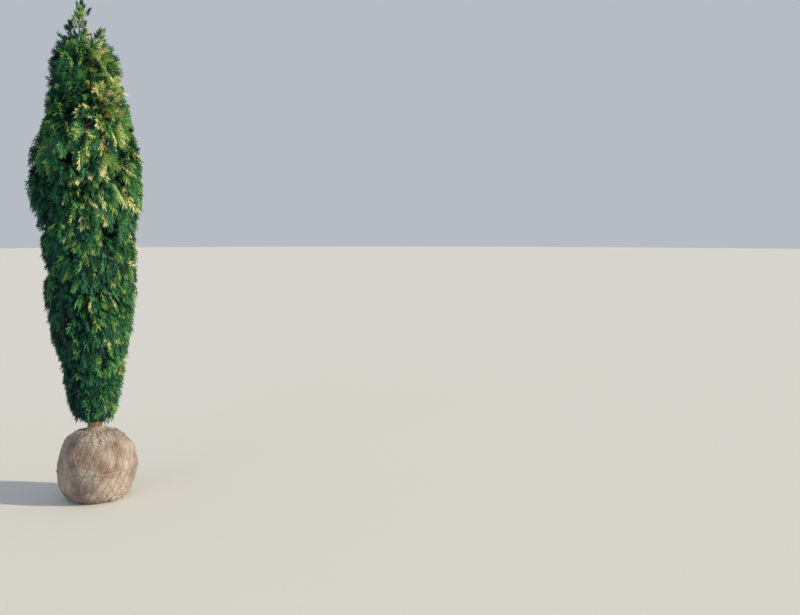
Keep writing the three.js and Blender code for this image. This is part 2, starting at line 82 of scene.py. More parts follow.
class Slot(Enum):
    """The names of the record's material slots for the new pieces' finishes; nothing in this script uses
    them.
    """

    BALL_SACKING = "ball_sacking"
    SACKING = "sacking"
    TWINE = "twine"
    WIRE = "wire"
    BARK = "bark"
    FOLIAGE = "foliage"
    FOLIAGE_TIP = "foliage_tip"


class Tint(Enum):
    """The plain colours that are dealt out to the sprays, as sRGB bytes."""

    # The two darkest tints are painted shade, for sprays deep in the crown and low down
    DEEP_SHADE = (8, 32, 34)
    SHADE = (20, 74, 60)
    MID = (38, 106, 74)
    FRESH = (74, 138, 78)
    # These two light tints are partly painted sunlight on the sunny side and partly the real colour of
    # sun-bleached new growth
    BRIGHT = (138, 172, 88)
    CREAM = (212, 214, 150)
    RUST = (170, 126, 70)


def mix(low: float, high: float, share: Values) -> Values:
    """Go from one value to another by a share."""
    return low + (high - low) * share


def linear(colour: Sequence[float]) -> tuple[float, float, float, float]:
    """Turn sRGB bytes into the linear colour that a shader socket takes.

    Args:
        colour: Red, green and blue from 0 to 255.

    Returns:
        The colour with an alpha of one.
    """
    parts = [part / 255 for part in colour]
    made = [part / 12.92 if part <= 0.04045 else ((part + 0.055) / 1.055) ** 2.4 for part in parts]
    return made[0], made[1], made[2], 1.0


def unit(vectors: np.ndarray) -> np.ndarray:
    """Scale vectors to a length of one."""
    return vectors / np.maximum(np.linalg.norm(vectors, axis=-1, keepdims=True), TINY)


def polar(radius: Values, bearing: Values, height: Values) -> np.ndarray:
    """Give the point at a distance from the trunk's line, a bearing and a height."""
    parts = np.broadcast_arrays(radius * np.cos(bearing), radius * np.sin(bearing), height)
    return np.stack(parts, axis=-1).astype(float)


def smooth_step(low: float, high: float, value: Values) -> Values:
    """Rise softly from nought at the low value to one at the high value."""
    share = np.clip((value - low) / (high - low), 0, 1)
    return share * share * (3 - 2 * share)


def seeded_draws(seed: int) -> Callable[[], float]:
    """Make the source's repeatable draws.

    Args:
        seed: The first state.

    Returns:
        A function that gives the next draw between nought and one.
    """
    state = [seed]

    def draw() -> float:
        """Give the next draw."""
        state[0] = (state[0] * DRAW_FACTOR) % DRAW_PRIME
        return state[0] / DRAW_PRIME

    return draw


def deselect_all() -> None:
    """Leave nothing selected, so that an operator acts only on the new piece."""
    if bpy.context.mode != "OBJECT":
        bpy.ops.object.mode_set(mode="OBJECT")
    bpy.ops.object.select_all(action="DESELECT")


def apply_modifier(piece: bpy.types.Object, kind: str, **settings: object) -> None:
    """Add a modifier to a piece and apply it.

    Args:
        piece: The piece, which becomes the active object.
        kind: The modifier's type.
        settings: The modifier's own settings.
    """
    bpy.context.view_layer.objects.active = piece
    modifier = piece.modifiers.new(kind.title(), kind)
    for name, value in settings.items():
        setattr(modifier, name, value)
    bpy.ops.object.modifier_apply(modifier=modifier.name)


def corners_of(piece: bpy.types.Object) -> np.ndarray:
    """Read the corners of a piece as rows of x, y and z.

    Args:
        piece: The piece.

    Returns:
        The rows.
    """
    corners = np.empty(3 * len(piece.data.vertices))
    piece.data.vertices.foreach_get("co", corners)
    return corners.reshape(-1, 3)


def move_corners(piece: bpy.types.Object, corners: np.ndarray) -> None:
    """Put the corners of a piece at new places."""
    piece.data.vertices.foreach_set("co", corners.ravel())
    piece.data.update()


def settle_in_place(piece: bpy.types.Object) -> None:
    """Move a primitive's place into its mesh, so that its object stands at the origin.

    Args:
        piece: The primitive, which becomes the active object.
    """
    deselect_all()
    piece.select_set(True)
    bpy.context.view_layer.objects.active = piece
    bpy.ops.object.transform_apply(location=True, rotation=True, scale=True)


def piece_from_arrays(name: str, corners: np.ndarray, triangles: np.ndarray) -> bpy.types.Object:
    """Make one joined piece from arrays.

    Args:
        name: The piece's name.
        corners: Rows of x, y and z.
        triangles: Rows of three corner numbers.

    Returns:
        The new piece, linked to the scene.
    """
    mesh = bpy.data.meshes.new(name)
    mesh.vertices.add(len(corners))
    mesh.vertices.foreach_set("co", corners.astype(np.float32).ravel())
    mesh.loops.add(3 * len(triangles))
    mesh.loops.foreach_set("vertex_index", triangles.astype(np.int32).ravel())
    mesh.polygons.add(len(triangles))
    mesh.polygons.foreach_set("loop_start", np.arange(0, 3 * len(triangles), 3, dtype=np.int32))
    mesh.update(calc_edges=True)
    piece = bpy.data.objects.new(name, mesh)
    bpy.context.scene.collection.objects.link(piece)
    return piece


def tubes(paths: np.ndarray, radii: np.ndarray, sides: int) -> Arrays:
    """Make closed tapering tubes along paths.

    Args:
        paths: Points, by tube and by step along it.
        radii: A radius for each point, or for each point and side.
        sides: The number of sides of every tube.

    Returns:
        The corners and the triangles of all the tubes.
    """
    count, steps, _ = paths.shape
    along = unit(np.gradient(paths, axis=1))
    chord = unit(paths[:, -1] - paths[:, 0])
    reference = np.eye(3)[np.argmin(np.abs(chord), axis=1)][:, None, :]
    first = unit(np.cross(along, reference))
    second = np.cross(along, first)
    turns = FULL_TURN * np.arange(sides) / sides
    ring = np.cos(turns)[:, None] * first[:, :, None, :] + np.sin(turns)[:, None] * second[:, :, None, :]
    spread = radii[..., None] if radii.ndim == 2 else radii
    corners = (paths[:, :, None, :] + ring * spread[..., None]).reshape(count, -1, 3)
    step, side = np.meshgrid(np.arange(steps - 1), np.arange(sides), indexing="ij")
    a = step * sides + side
    b = step * sides + (side + 1) % sides
    wall = np.concatenate([np.stack([a, b, b + sides], -1), np.stack([a, b + sides, a + sides], -1)])
    rim = np.arange(1, sides - 1)
    foot = np.stack([0 * rim, rim + 1, rim], -1)
    tip = np.stack([0 * rim, rim, rim + 1], -1) + (steps - 1) * sides
    one = np.concatenate([wall.reshape(-1, 3), foot, tip])
    offsets = np.arange(count)[:, None, None] * steps * sides
    return corners.reshape(-1, 3), (one[None] + offsets).reshape(-1, 3)


class Graph:
    """A node tree that is filled from code."""

    def __init__(self, tree: bpy.types.NodeTree) -> None:
        """Hold the tree."""
        self.tree = tree

    def add(self, kind: str, inputs: dict | None = None, **settings: object) -> bpy.types.Node:
        """Add a node.

        Args:
            kind: The node's type.
            inputs: A value or an output socket for each input, by its name or number.
            settings: The node's own settings.

        Returns:
            The node.
        """
        node = self.tree.nodes.new(kind)
        for name, value in settings.items():
            setattr(node, name, value)
        for key, value in (inputs or {}).items():
            if isinstance(value, bpy.types.NodeSocket):
                self.link(value, node.inputs[key])
            else:
                node.inputs[key].default_value = value
        return node

    def link(self, output: bpy.types.NodeSocket, taker: bpy.types.NodeSocket) -> None:
        """Link an output to the input that takes it."""
        self.tree.links.new(output, taker)

    def place(self, kind: str) -> bpy.types.NodeSocket:
        """Add texture coordinates and give those of one kind."""
        return self.add("ShaderNodeTexCoord").outputs[kind]

    def math(self, operation: str, first: object, second: object = 0.0) -> bpy.types.NodeSocket:
        """Add a calculation with two values and give its output."""
        return self.add("ShaderNodeMath", {0: first, 1: second}, operation=operation).outputs[0]

    def noise(self, vector: object, scale: object, detail: float) -> bpy.types.NodeSocket:
        """Add noise and give its strength."""
        inputs = {"Vector": vector, "Scale": scale, "Detail": detail}
        return self.add("ShaderNodeTexNoise", inputs).outputs["Fac"]

    def blend(self, share: object, first: object, second: object) -> bpy.types.NodeSocket:
        """Add a mix of two colours and give its output."""
        inputs = {0: share, 6: first, 7: second}
        return self.add("ShaderNodeMix", inputs, data_type="RGBA").outputs[2]


def new_group(
    name: str, values: dict[str, float], output: str
) -> tuple[Graph, bpy.types.bpy_prop_collection, bpy.types.NodeSocket]:
    """Start a shader node group with one output.

    Args:
        name: The group's name.
        values: The numbers that it takes, with their usual sizes, besides a place called Vector.
        output: The number that it gives.

    Returns:
        The graph, the sockets of what it is given, and the socket that takes its result.
    """
    tree = bpy.data.node_groups.new(name, "ShaderNodeTree")
    tree.interface.new_socket("Vector", in_out="INPUT", socket_type="NodeSocketVector")
    for key, value in values.items():
        socket = tree.interface.new_socket(key, in_out="INPUT", socket_type="NodeSocketFloat")
        socket.default_value = value
    tree.interface.new_socket(output, in_out="OUTPUT", socket_type="NodeSocketFloat")
    graph = Graph(tree)
    return graph, graph.add("NodeGroupInput").outputs, graph.add("NodeGroupOutput").inputs[output]


def mottle_group() -> bpy.types.NodeTree:
    """Build the group that gives soft uneven stains.

    Returns:
        The group.
    """
    graph, given, made = new_group("mottle", {"Scale": 10.0, "Contrast": 2.0}, "Mask")
    centred = graph.math("SUBTRACT", graph.noise(given["Vector"], given["Scale"], detail=4.0), 0.5)
    spread = graph.math("MULTIPLY", centred, given["Contrast"])
    shifted = graph.add("ShaderNodeMath", {0: spread, 1: 0.5}, operation="ADD", use_clamp=True)
    graph.link(shifted.outputs[0], made)
    return graph.tree


def weave_group() -> bpy.types.NodeTree:
    """Build the group that gives the height of crossing threads.

    Returns:
        The group.
    """
    graph, given, made = new_group("weave", {"Across": 300.0, "Along": 140.0}, "Height")
    level = 0.65
    rise_at_crossing = 0.35
    place = graph.add("ShaderNodeSeparateXYZ", {0: given["Vector"]}).outputs
    waves = []
    for axis, count in (("X", "Across"), ("Y", "Along")):
        turns = graph.math("MULTIPLY", place[axis], given[count])
        waves.append(graph.math("SINE", graph.math("MULTIPLY", turns, math.pi)))
    over = graph.math("MULTIPLY", waves[0], waves[1])
    lifted = graph.math("MULTIPLY", over, rise_at_crossing)
    warp = graph.math("MULTIPLY", graph.math("ABSOLUTE", waves[0]), graph.math("ADD", level, lifted))
    weft = graph.math("MULTIPLY", graph.math("ABSOLUTE", waves[1]), graph.math("SUBTRACT", level, lifted))
    graph.link(graph.math("MAXIMUM", warp, weft), made)
    return graph.tree


def strip_group() -> bpy.types.NodeTree:
    """Build the group that gives fibres which run up and down.

    Returns:
        The group.
    """
    graph, given, made = new_group("strips", {"Scale": 90.0, "Stretch": 0.07}, "Height")
    place = graph.add("ShaderNodeSeparateXYZ", {0: given["Vector"]}).outputs
    drawn_out = graph.math("MULTIPLY", place["Z"], given["Stretch"])
    vector = graph.add("ShaderNodeCombineXYZ", {0: place["X"], 1: place["Y"], 2: drawn_out}).outputs[0]
    graph.link(graph.noise(vector, given["Scale"], detail=5.0), made)
    return graph.tree


@dataclass(frozen=True)
class Effects:
    """The shared shader groups, each built once."""

    mottle: bpy.types.NodeTree = field(default_factory=mottle_group)
    weave: bpy.types.NodeTree = field(default_factory=weave_group)
    strips: bpy.types.NodeTree = field(default_factory=strip_group)

    def stains(self, graph: Graph, scale: float, contrast: float) -> bpy.types.NodeSocket:
        """Add soft uneven stains to a material and give their mask."""
        inputs = {"Vector": graph.place("Object"), "Scale": scale, "Contrast": contrast}
        return graph.add("ShaderNodeGroup", inputs, node_tree=self.mottle).outputs[0]

    def threads(self, graph: Graph, across: float, along: float) -> bpy.types.NodeSocket:
        """Add crossing threads that follow the cloth's UV map and give their height."""
        inputs = {"Vector": graph.place("UV"), "Across": across, "Along": along}
        return graph.add("ShaderNodeGroup", inputs, node_tree=self.weave).outputs[0]

    def fibres(self, graph: Graph, scale: float) -> bpy.types.NodeSocket:
        """Add fibres which run up and down and give their height."""
        inputs = {"Vector": graph.place("Object"), "Scale": scale}
        return graph.add("ShaderNodeGroup", inputs, node_tree=self.strips).outputs[0]


def new_material(
    name: str, roughness: float, specular: float
) -> tuple[bpy.types.Material, Graph, bpy.types.bpy_prop_collection]:
    """Start a material with one Principled shader.

    Args:
        name: The material's name.
        roughness: The shader's roughness.
        specular: How strongly its surface reflects.

    Returns:
        The material, its graph and its shader's inputs.
    """
    material = bpy.data.materials.new(name)
    material.use_nodes = True
    graph = Graph(material.node_tree)
    inputs = material.node_tree.nodes["Principled BSDF"].inputs
    inputs["Roughness"].default_value = roughness
    inputs["Specular IOR Level"].default_value = specular
    return material, graph, inputs


def link_bump(graph: Graph, normal: bpy.types.NodeSocket, height: object, distance: float) -> None:
    """Feed a height to a shader's normal as a bump of a given depth."""
    bump = graph.add("ShaderNodeBump", {"Height": height, "Distance": distance, "Strength": 1.0})
    graph.link(bump.outputs["Normal"], normal)


@dataclass(frozen=True)
class SackingFinish:
    """Coarse jute: crossing threads with painted shade between them, stained by soil."""

    name: str
    pale: Colour
    soiled: Colour
    across: float
    along: float
    stain: Pair = (9.0, 3.2)
    speck: Pair = (120.0, 3.0)
    speck_share: float = 0.42
    shade_share: float = 0.55
    darkening: float = 0.5
    thread_depth: float = 0.0012
    roughness: float = 0.95
    specular: float = 0.15
    sheen: float = 0.12

    def material(self, effects: Effects) -> bpy.types.Material:
        """Build the material.

        Args:
            effects: The shared groups.

        Returns:
            The material.
        """
        material, graph, inputs = new_material(self.name, self.roughness, self.specular)
        inputs["Sheen Weight"].default_value = self.sheen
        stain = effects.stains(graph, *self.stain)
        speck = effects.stains(graph, *self.speck)
        height = effects.threads(graph, self.across, self.along)
        darker = linear([part * self.darkening for part in self.soiled])
        cloth = graph.blend(stain, linear(self.soiled), linear(self.pale))
        specked = graph.blend(graph.math("MULTIPLY", speck, self.speck_share), cloth, darker)
        # Painted shade where the threads lie low between their crossings
        shade = graph.math("MULTIPLY", graph.math("SUBTRACT", 1.0, height), self.shade_share)
        graph.link(graph.blend(shade, specked, darker), inputs["Base Color"])
        link_bump(graph, inputs["Normal"], height, self.thread_depth)
        return material


@dataclass(frozen=True)
class BarkFinish:
    """Stringy red-brown bark."""

    name: str = "bark"
    ridge: Colour = (138, 104, 78)
    furrow: Colour = (66, 44, 32)
    scale: float = 90.0
    furrow_height: float = 0.35
    ridge_height: float = 0.62
    depth: float = 0.0015
    roughness: float = 0.88
    specular: float = 0.2

    def material(self, effects: Effects) -> bpy.types.Material:
        """Build the material.

        Args:
            effects: The shared groups.

        Returns:
            The material.
        """
        material, graph, inputs = new_material(self.name, self.roughness, self.specular)
        levels = {1: self.furrow_height, 2: self.ridge_height, 3: 0.0, 4: 1.0}
        heights = {0: effects.fibres(graph, self.scale), **levels}
        sharp = graph.add("ShaderNodeMapRange", heights).outputs[0]
        graph.link(graph.blend(sharp, linear(self.furrow), linear(self.ridge)), inputs["Base Color"])
        link_bump(graph, inputs["Normal"], sharp, self.depth)
        return material


@dataclass(frozen=True)
class MottledFinish:
    """Two tones in a fine mottle, as on twine and on dull galvanised wire with a few brown spots."""

    name: str
    ground: Colour
    spot: Colour
    scale: float
    contrast: float
    most: float
    roughness: float
    specular: float
    metallic: float

    def material(self, effects: Effects) -> bpy.types.Material:
        """Build the material.

        Args:
            effects: The shared groups.

        Returns:
            The material.
        """
        material, graph, inputs = new_material(self.name, self.roughness, self.specular)
        inputs["Metallic"].default_value = self.metallic
        share = graph.math("MULTIPLY", effects.stains(graph, self.scale, self.contrast), self.most)
        graph.link(graph.blend(share, linear(self.ground), linear(self.spot)), inputs["Base Color"])
        return material


@dataclass(frozen=True)
class LeafFinish:
    """One plain leaf colour, satin to matt."""

    tint: Tint
    roughness: float = 0.6
    specular: float = 0.35

    def material(self) -> bpy.types.Material:
        """Build the material with every value on the shader's own socket.

        Returns:
            The material.
        """
        material, _, inputs = new_material(f"leaf_{self.tint.name.lower()}", self.roughness, self.specular)
        inputs["Base Color"].default_value = linear(self.tint.value)
        return material


BALL_SACKING = SackingFinish("ball_sacking", (212, 198, 180), (144, 116, 104), across=330.0, along=150.0)
COLLAR_SACKING = SackingFinish("collar_sacking", (208, 192, 168), (140, 116, 100), across=84.0, along=26.0)
TWINE = MottledFinish(
    "twine", ground=(112, 90, 60), spot=(176, 150, 106), scale=400.0, contrast=3.0, most=1.0,
    roughness=0.9, specular=0.2, metallic=0.0,
)
WIRE = MottledFinish(
    "wire", ground=(176, 173, 166), spot=(118, 88, 62), scale=55.0, contrast=5.0, most=0.5,
    roughness=0.5, specular=0.5, metallic=0.7,
)


def dress(
    piece: bpy.types.Object, material: bpy.types.Material, stands_for: Iterable[str]
) -> bpy.types.Object:
    """Finish a piece and hand it to the frame.

    Args:
        piece: The finished mesh.
        material: Its material.
        stands_for: The solid nodes that it replaces.

    Returns:
        The piece.
    """
    piece.data.materials.clear()
    piece.data.materials.append(material)
    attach(piece, "root")
    names = list(stands_for)
    if names:
        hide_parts(*names)
    triangles = sum(len(face.vertices) - 2 for face in piece.data.polygons)
    LOG.info("made %s: %d triangles, for %d solids", piece.name, triangles, len(names))
    return piece


@dataclass(frozen=True)
class Crown:
    """The crown's outline, and how tiers and sectors share it out. It repeats the source's rule."""

    # The outline: heights with their reach, and its swells as a share, a count of lobes and a rise
    profile: tuple[Pair, ...] = (
        (0.440, 0.096), (0.560, 0.138), (0.770, 0.176), (0.950, 0.222), (1.140, 0.252),
        (1.370, 0.247), (1.620, 0.288), (1.790, 0.322), (1.930, 0.276), (2.060, 0.240),
        (2.230, 0.219), (2.400, 0.190), (2.520, 0.138), (2.620, 0.092), (2.710, 0.040),
    )
    swells: tuple[tuple[float, int, float], ...] = ((0.035, 3, 0.170), (0.025, 5, -0.110))
    bottom: float = 0.448
    top: float = 2.700
    # Tiers and sectors, and the surfaces between tiers: the lowest, their rise, their slope and wave
    tiers: int = 5
    sectors: int = 4
    lowest_level: float = 0.520
    tier_rise: float = 0.366
    level_slope: float = 0.5
    level_wave: tuple[float, int, float] = (0.046, 2, 2.1)
    tier_turn: float = 0.82
    sector_jitter: Triple = (0.2, 5.3, 2.9)
    # The middle and the half depth of a mass's core, as shares of the reach
    core_place: float = 0.55
    core_depth: float = 0.30
    # The seed of a mass: of the first one, and the steps from tier to tier and from sector to sector
    mass_seed: tuple[int, ...] = (1009, 211, 37)

    def reach(self, height: Values, bearing: Values) -> Values:
        """Give the distance from the trunk's line to the outline.

        Args:
            height: The height over the floor.
            bearing: The bearing round the trunk.

        Returns:
            The distance.
        """
        heights, reaches = np.array(self.profile).T
        swell = 1 + sum(share * np.sin(lobes * bearing + height / rise) for share, lobes, rise in self.swells)
        return np.interp(height, heights, reaches) * swell

    def level_at_axis(self, level: int, bearing: float) -> float:
        """Give the height where the surface between two tiers crosses the trunk's line."""
        height, lobes, turn = self.level_wave
        return self.lowest_level + self.tier_rise * level + height * math.sin(lobes * bearing + turn * level)

    def level_at_outline(self, level: int, bearing: float) -> float:
        """Give the height where the surface between two tiers meets the outline.

        Args:
            level: The number of the surface, from nought at the bottom.
            bearing: The bearing round the trunk.

        Returns:
            The height over the floor.
        """
        at_axis = self.level_at_axis(level, bearing)
        first = at_axis - self.level_slope * self.reach(at_axis, bearing)
        return at_axis - self.level_slope * self.reach(first, bearing)


@dataclass(frozen=True)
class Stem:
    """The line and the thickness of the trunk, as in the source."""

    foot: float = 0.3803
    tip: float = 2.470
    base_radius: float = 0.023
    tip_radius: float = 0.0032
    # How far its line sways, and its flare and buttresses at the foot
    sway: float = 0.009
    cross_sway: float = 0.0054
    flare_radius: float = 0.012
    flare_fade: float = 0.026
    buttresses: int = 4
    buttress_depth: float = 0.1

    def share(self, height: Values) -> Values:
        """Give the share of the way from foot to tip."""
        return np.clip((height - self.foot) / (self.tip - self.foot), 0, 1)

    def centre(self, height: Values) -> np.ndarray:
        """Give the middle of the trunk at a height.

        Args:
            height: The height over the floor.

        Returns:
            The point, or rows of points.
        """
        share = self.share(height)
        swing = np.sin(math.pi * share) ** 2
        across = -self.cross_sway * swing * np.sin(FULL_TURN * share)
        return np.stack(np.broadcast_arrays(self.sway * swing, across, height), axis=-1).astype(float)

    def radius(self, height: Values) -> Values:
        """Give the trunk's radius at a height, without its flare."""
        return mix(self.base_radius, self.tip_radius, self.share(height))

    def flared(self, height: Values, bearing: Values) -> Values:
        """Give the trunk's radius at a height and a bearing, with flare and buttresses.

        Args:
            height: The height over the floor.
            bearing: The bearing round the trunk.

        Returns:
            The radius.
        """
        flare = np.exp(-(height - self.foot) / self.flare_fade)
        buttress = 1 - self.buttress_depth * flare * (1 - np.cos(self.buttresses * bearing))
        return (self.radius(height) + self.flare_radius * flare) * buttress


@dataclass(frozen=True)
class Mass:
    """The room of one mass of foliage, as the source lays it out."""

    name: str
    tier: int
    first: float
    last: float
    bearing: float
    reach: float
    centre: np.ndarray
    draw: Callable[[], float]


def lay_out_masses(crown: Crown) -> list[Mass]:
    """Lay out the rooms of the masses by the source's rule.

    Args:
        crown: The crown's outline.

    Returns:
        The masses, tier by tier from the bottom.
    """
    masses = []
    turn, by_tier, by_sector = crown.sector_jitter
    seed, seed_by_tier, seed_by_sector = crown.mass_seed
    for tier in range(crown.tiers):
        for sector in range(crown.sectors):
            edges = []
            for side in (0, 1):
                jitter = math.sin(by_tier * tier + by_sector * ((sector + side) % crown.sectors))
                even = crown.tier_turn * tier + FULL_TURN * (sector + side) / crown.sectors
                edges.append(even + turn * jitter)
            bearing = sum(edges) / 2
            low = max(crown.level_at_outline(tier, bearing), crown.bottom)
            high = crown.level_at_outline(tier + 1, bearing)
            reach = float(crown.reach((low + high) / 2, bearing))
            middle = (crown.level_at_axis(tier, bearing) + crown.level_at_axis(tier + 1, bearing)) / 2
            radius = crown.core_place * reach
            centre = polar(radius, bearing, middle - crown.level_slope * radius)
            draw = seeded_draws(seed + seed_by_tier * tier + seed_by_sector * sector)
            name = f"{tier + 1}{'abcd'[sector]}"
            masses.append(Mass(name, tier, edges[0], edges[1], bearing, reach, centre, draw))
    return masses


@dataclass
class JoinedMesh:
    """Collects many small meshes, such as twigs, wires and sprays, and joins them into one piece."""

    corners: list[np.ndarray] = field(default_factory=list)
    triangles: list[np.ndarray] = field(default_factory=list)

    def add_arrays(self, corners: np.ndarray, triangles: np.ndarray) -> None:
        """Add a mesh, its corners numbered from nought."""
        self.triangles.append(triangles + sum(len(part) for part in self.corners))
        self.corners.append(corners)

    def add(self, paths: np.ndarray, radii: np.ndarray, sides: int) -> None:
        """Add closed tapering tubes along paths."""
        self.add_arrays(*tubes(paths, radii, sides))

    def piece(self, name: str) -> bpy.types.Object:
        """Join what was collected into one piece."""
        return piece_from_arrays(name, np.concatenate(self.corners), np.concatenate(self.triangles))


@dataclass
class Fans:
    """Collects flat sprays: where each starts, how it lies, its size, its tier and its tint."""

    base: list[np.ndarray] = field(default_factory=list)
    along: list[np.ndarray] = field(default_factory=list)
    facing: list[np.ndarray] = field(default_factory=list)
    length: list[np.ndarray] = field(default_factory=list)
    bend: list[np.ndarray] = field(default_factory=list)
    tier: list[np.ndarray] = field(default_factory=list)
    tint: list[np.ndarray] = field(default_factory=list)
    tip_tint: list[np.ndarray] = field(default_factory=list)

    def add(self, **rows: np.ndarray) -> None:
        """Add a batch of sprays, one array for each field."""
        for name, values in rows.items():
            getattr(self, name).append(values)

    def joined(self, name: str) -> np.ndarray:
        """Give one field of all the sprays."""
        return np.concatenate(getattr(self, name))


@dataclass(frozen=True)
class FanShape:
    """The outline of a flat spray: a middle strand and lobed side strands, one unit long along +Y."""

    seed: int
    spread: float = 0.92
    end_share: float = 0.72
    # A strand: half its width, its foot's share of that, its widest place and how its sides fall away
    half_width: float = 0.022
    foot_width: float = 0.6
    widest_at: float = 0.55
    fall: float = 1.3
    # Its lobes: how many, where they start, and how far they lean, reach and narrow
    middle_lobes: int = 3
    side_lobes: int = 2
    lobe_start: float = 0.14
    lobe_span: float = 0.6
    lobe_stagger: float = 0.13
    lobe_foot: float = 0.20
    lobe_lean: float = 0.42
    lobe_reach: float = 0.18
    lobe_taper: float = 0.7
    lobe_rim: float = 0.5
    # The side strands: how many, where they start, how they turn and how long they are
    side_strands: int = 11
    side_start: float = 0.10
    side_span: float = 0.76
    turn_at_tip: float = 0.55
    turn_scatter: Pair = (0.85, 1.15)
    length_at_foot: float = 0.50
    length_fall: float = 0.75
    least_length: float = 0.12
    length_scatter: Pair = (0.8, 1.12)
    lift: float = 0.5

    def strand(self, foot: Pair, heading: float, length: float, lift: float, lobes: int) -> tuple[list, list]:
        """Make one strand as a slim blade with pointed lobes on both sides.

        Args:
            foot: Where the strand starts.
            heading: Its direction from +Y, positive to the right.
            length: Its length.
            lift: How far its tip stands out of the spray's plane.
            lobes: How many lobes each side has.

        Returns:
            Its corners and its triangles.
        """
        along = np.array([math.sin(heading), math.cos(heading)])
        across = np.array([along[1], -along[0]])
        corners: list = []

        def corner(share: float, aside: float) -> int:
            """Add a corner at a share of the strand and a distance aside, and give its number.

            Args:
                share: Its share of the way from the strand's foot to its tip.
                aside: Its distance from the strand's middle, positive to the right.

            Returns:
                The corner's number.
            """
            flat = np.array(foot) + along * length * share + across * aside
            corners.append((flat[0], flat[1], lift * share * length - self.fall * abs(aside)))
            return len(corners) - 1

        width = self.half_width
        low = (corner(0, -width * self.foot_width), corner(0, width * self.foot_width))
        middle = (corner(self.widest_at, -width), corner(self.widest_at, width))
        tip = corner(1, 0)
        triangles = [(low[0], low[1], middle[1]), (low[0], middle[1], middle[0]), (middle[0], middle[1], tip)]
        for n in range(lobes):
            start = self.lobe_start + self.lobe_span * n / lobes
            for side, at in ((-1, start), (1, start + self.lobe_stagger)):
                reach = width + self.lobe_reach * length * (1 - self.lobe_taper * at)
                rim = side * width * self.lobe_rim
                ends = [(at, rim), (at + self.lobe_foot, rim), (at + self.lobe_lean, side * reach)]
                triangles.append(tuple(corner(*end) for end in ends))
        return corners, triangles

    def strands(self) -> list[tuple[list, list]]:
        """Make the middle strand and the side strands, by turns left and right.

        Returns:
            The corners and the triangles of each strand.
        """
        draw = seeded_draws(self.seed)
        parts = [self.strand((0, 0), 0.0, 1.0, 0.0, self.middle_lobes)]
        for n in range(self.side_strands):
            at = self.side_start + self.side_span * n / (self.side_strands - 1)
            side = 1 if n % 2 else -1
            heading = side * self.spread * mix(1, self.turn_at_tip, at) * mix(*self.turn_scatter, draw())
            length = self.length_at_foot * (1 - at) ** self.length_fall + self.least_length
            length *= mix(*self.length_scatter, draw())
            parts.append(self.strand((0, at), heading, length, self.lift * (draw() - 0.5), self.side_lobes))
        return parts

    def arrays(self) -> dict[str, Arrays]:
        """Make the whole spray in two parts, the inner one and the ends of its strands.

        Returns:
            The corners and the triangles of the parts called body and ends.
        """
        corners: list = []
        triangles: list = []
        at_end: list = []
        for part_corners, part_triangles in self.strands():
            reach = max(math.hypot(*corner[:2]) for corner in part_corners)
            for row in part_triangles:
                place = max(math.hypot(*part_corners[number][:2]) for number in row)
                at_end.append(place > self.end_share * reach)
                triangles.append([number + len(corners) for number in row])
            corners += part_corners
        return {
            "body": self.some(np.array(corners), np.array(triangles), ~np.array(at_end)),
            "ends": self.some(np.array(corners), np.array(triangles), np.array(at_end)),
        }

    @staticmethod
    def some(corners: np.ndarray, triangles: np.ndarray, chosen: np.ndarray) -> Arrays:
        """Keep the chosen triangles and only the corners that they use."""
        used, renumbered = np.unique(triangles[chosen], return_inverse=True)
        return corners[used], renumbered.reshape(-1, 3)


@dataclass(frozen=True)
class Plume:
    """One plume: its ends, its tier, the count and the size of its sprays, and its share of the reach."""

    root: np.ndarray
    tip: np.ndarray
    tier: int
    count: int
    scale: float
    limit: float


@dataclass(frozen=True)
class PlumeRule:
    """Where the plumes of a mass lie. It repeats the source's rule."""

    crown: Crown
    count: int = 18
    # Its length: a share of the mass's reach, and a least length with its scatter
    share: float = 0.46
    least: float = 0.066
    least_scatter: Pair = (0.8, 1.2)
    # Where it lies in its mass, from side to side and from the bottom to the top
    first_side: float = 0.35
    side_scatter: float = 0.12
    rise_scatter: Pair = (0.15, 0.85)
    edge: float = 0.06
    spread: float = 0.5
    reach_scatter: Pair = (0.9, 1.0)
    # How far the lowest and the highest droop, and their scatter
    droop: Triple = (1.1, -0.45, 0.2)
    level_gap: float = 0.004
    height_scatter: float = 0.030
    height_wave: Pair = (7.3, 2.1)
    # Over this height they point upwards, more with each metre
    lift_from: float = 1.950
    lift_per_metre: float = 1.6

    def line(self, mass: Mass, slot: int) -> Arrays:
        """Give the root and the tip of a plume of a mass.

        Args:
            mass: The mass that carries it.
            slot: Its number, from the bottom of the mass to the top.

        Returns:
            The root and the tip.
        """
        crown = self.crown
        side = (self.first_side + slot * GOLDEN_SHARE + self.side_scatter * mass.draw()) % 1
        rise = (slot + mix(*self.rise_scatter, mass.draw())) / self.count
        bearing = mix(mass.first, mass.last, mix(self.edge, 1 - self.edge, side))
        low = max(crown.level_at_outline(mass.tier, bearing), crown.bottom) + self.level_gap
        high = crown.level_at_outline(mass.tier + 1, bearing) - self.level_gap
        by_slot, by_bearing = self.height_wave
        wave = math.sin(by_slot * slot + by_bearing * mass.bearing)
        height = mix(low, high, rise) + self.height_scatter * wave
        lift = max(height - self.lift_from, 0) * self.lift_per_metre
        low_droop, high_droop, scatter = self.droop
        droop = mix(low_droop, high_droop, rise) - lift + scatter * (mass.draw() - 0.5)
        reach = float(crown.reach(height, bearing)) * mix(*self.reach_scatter, mass.draw())
        length = self.share * mass.reach + self.least * mix(*self.least_scatter, mass.draw())
        tip = polar(reach, bearing, height)
        heading = bearing + self.spread * (bearing - mass.bearing)
        return tip - polar(length * math.cos(droop), heading, -length * math.sin(droop)), tip


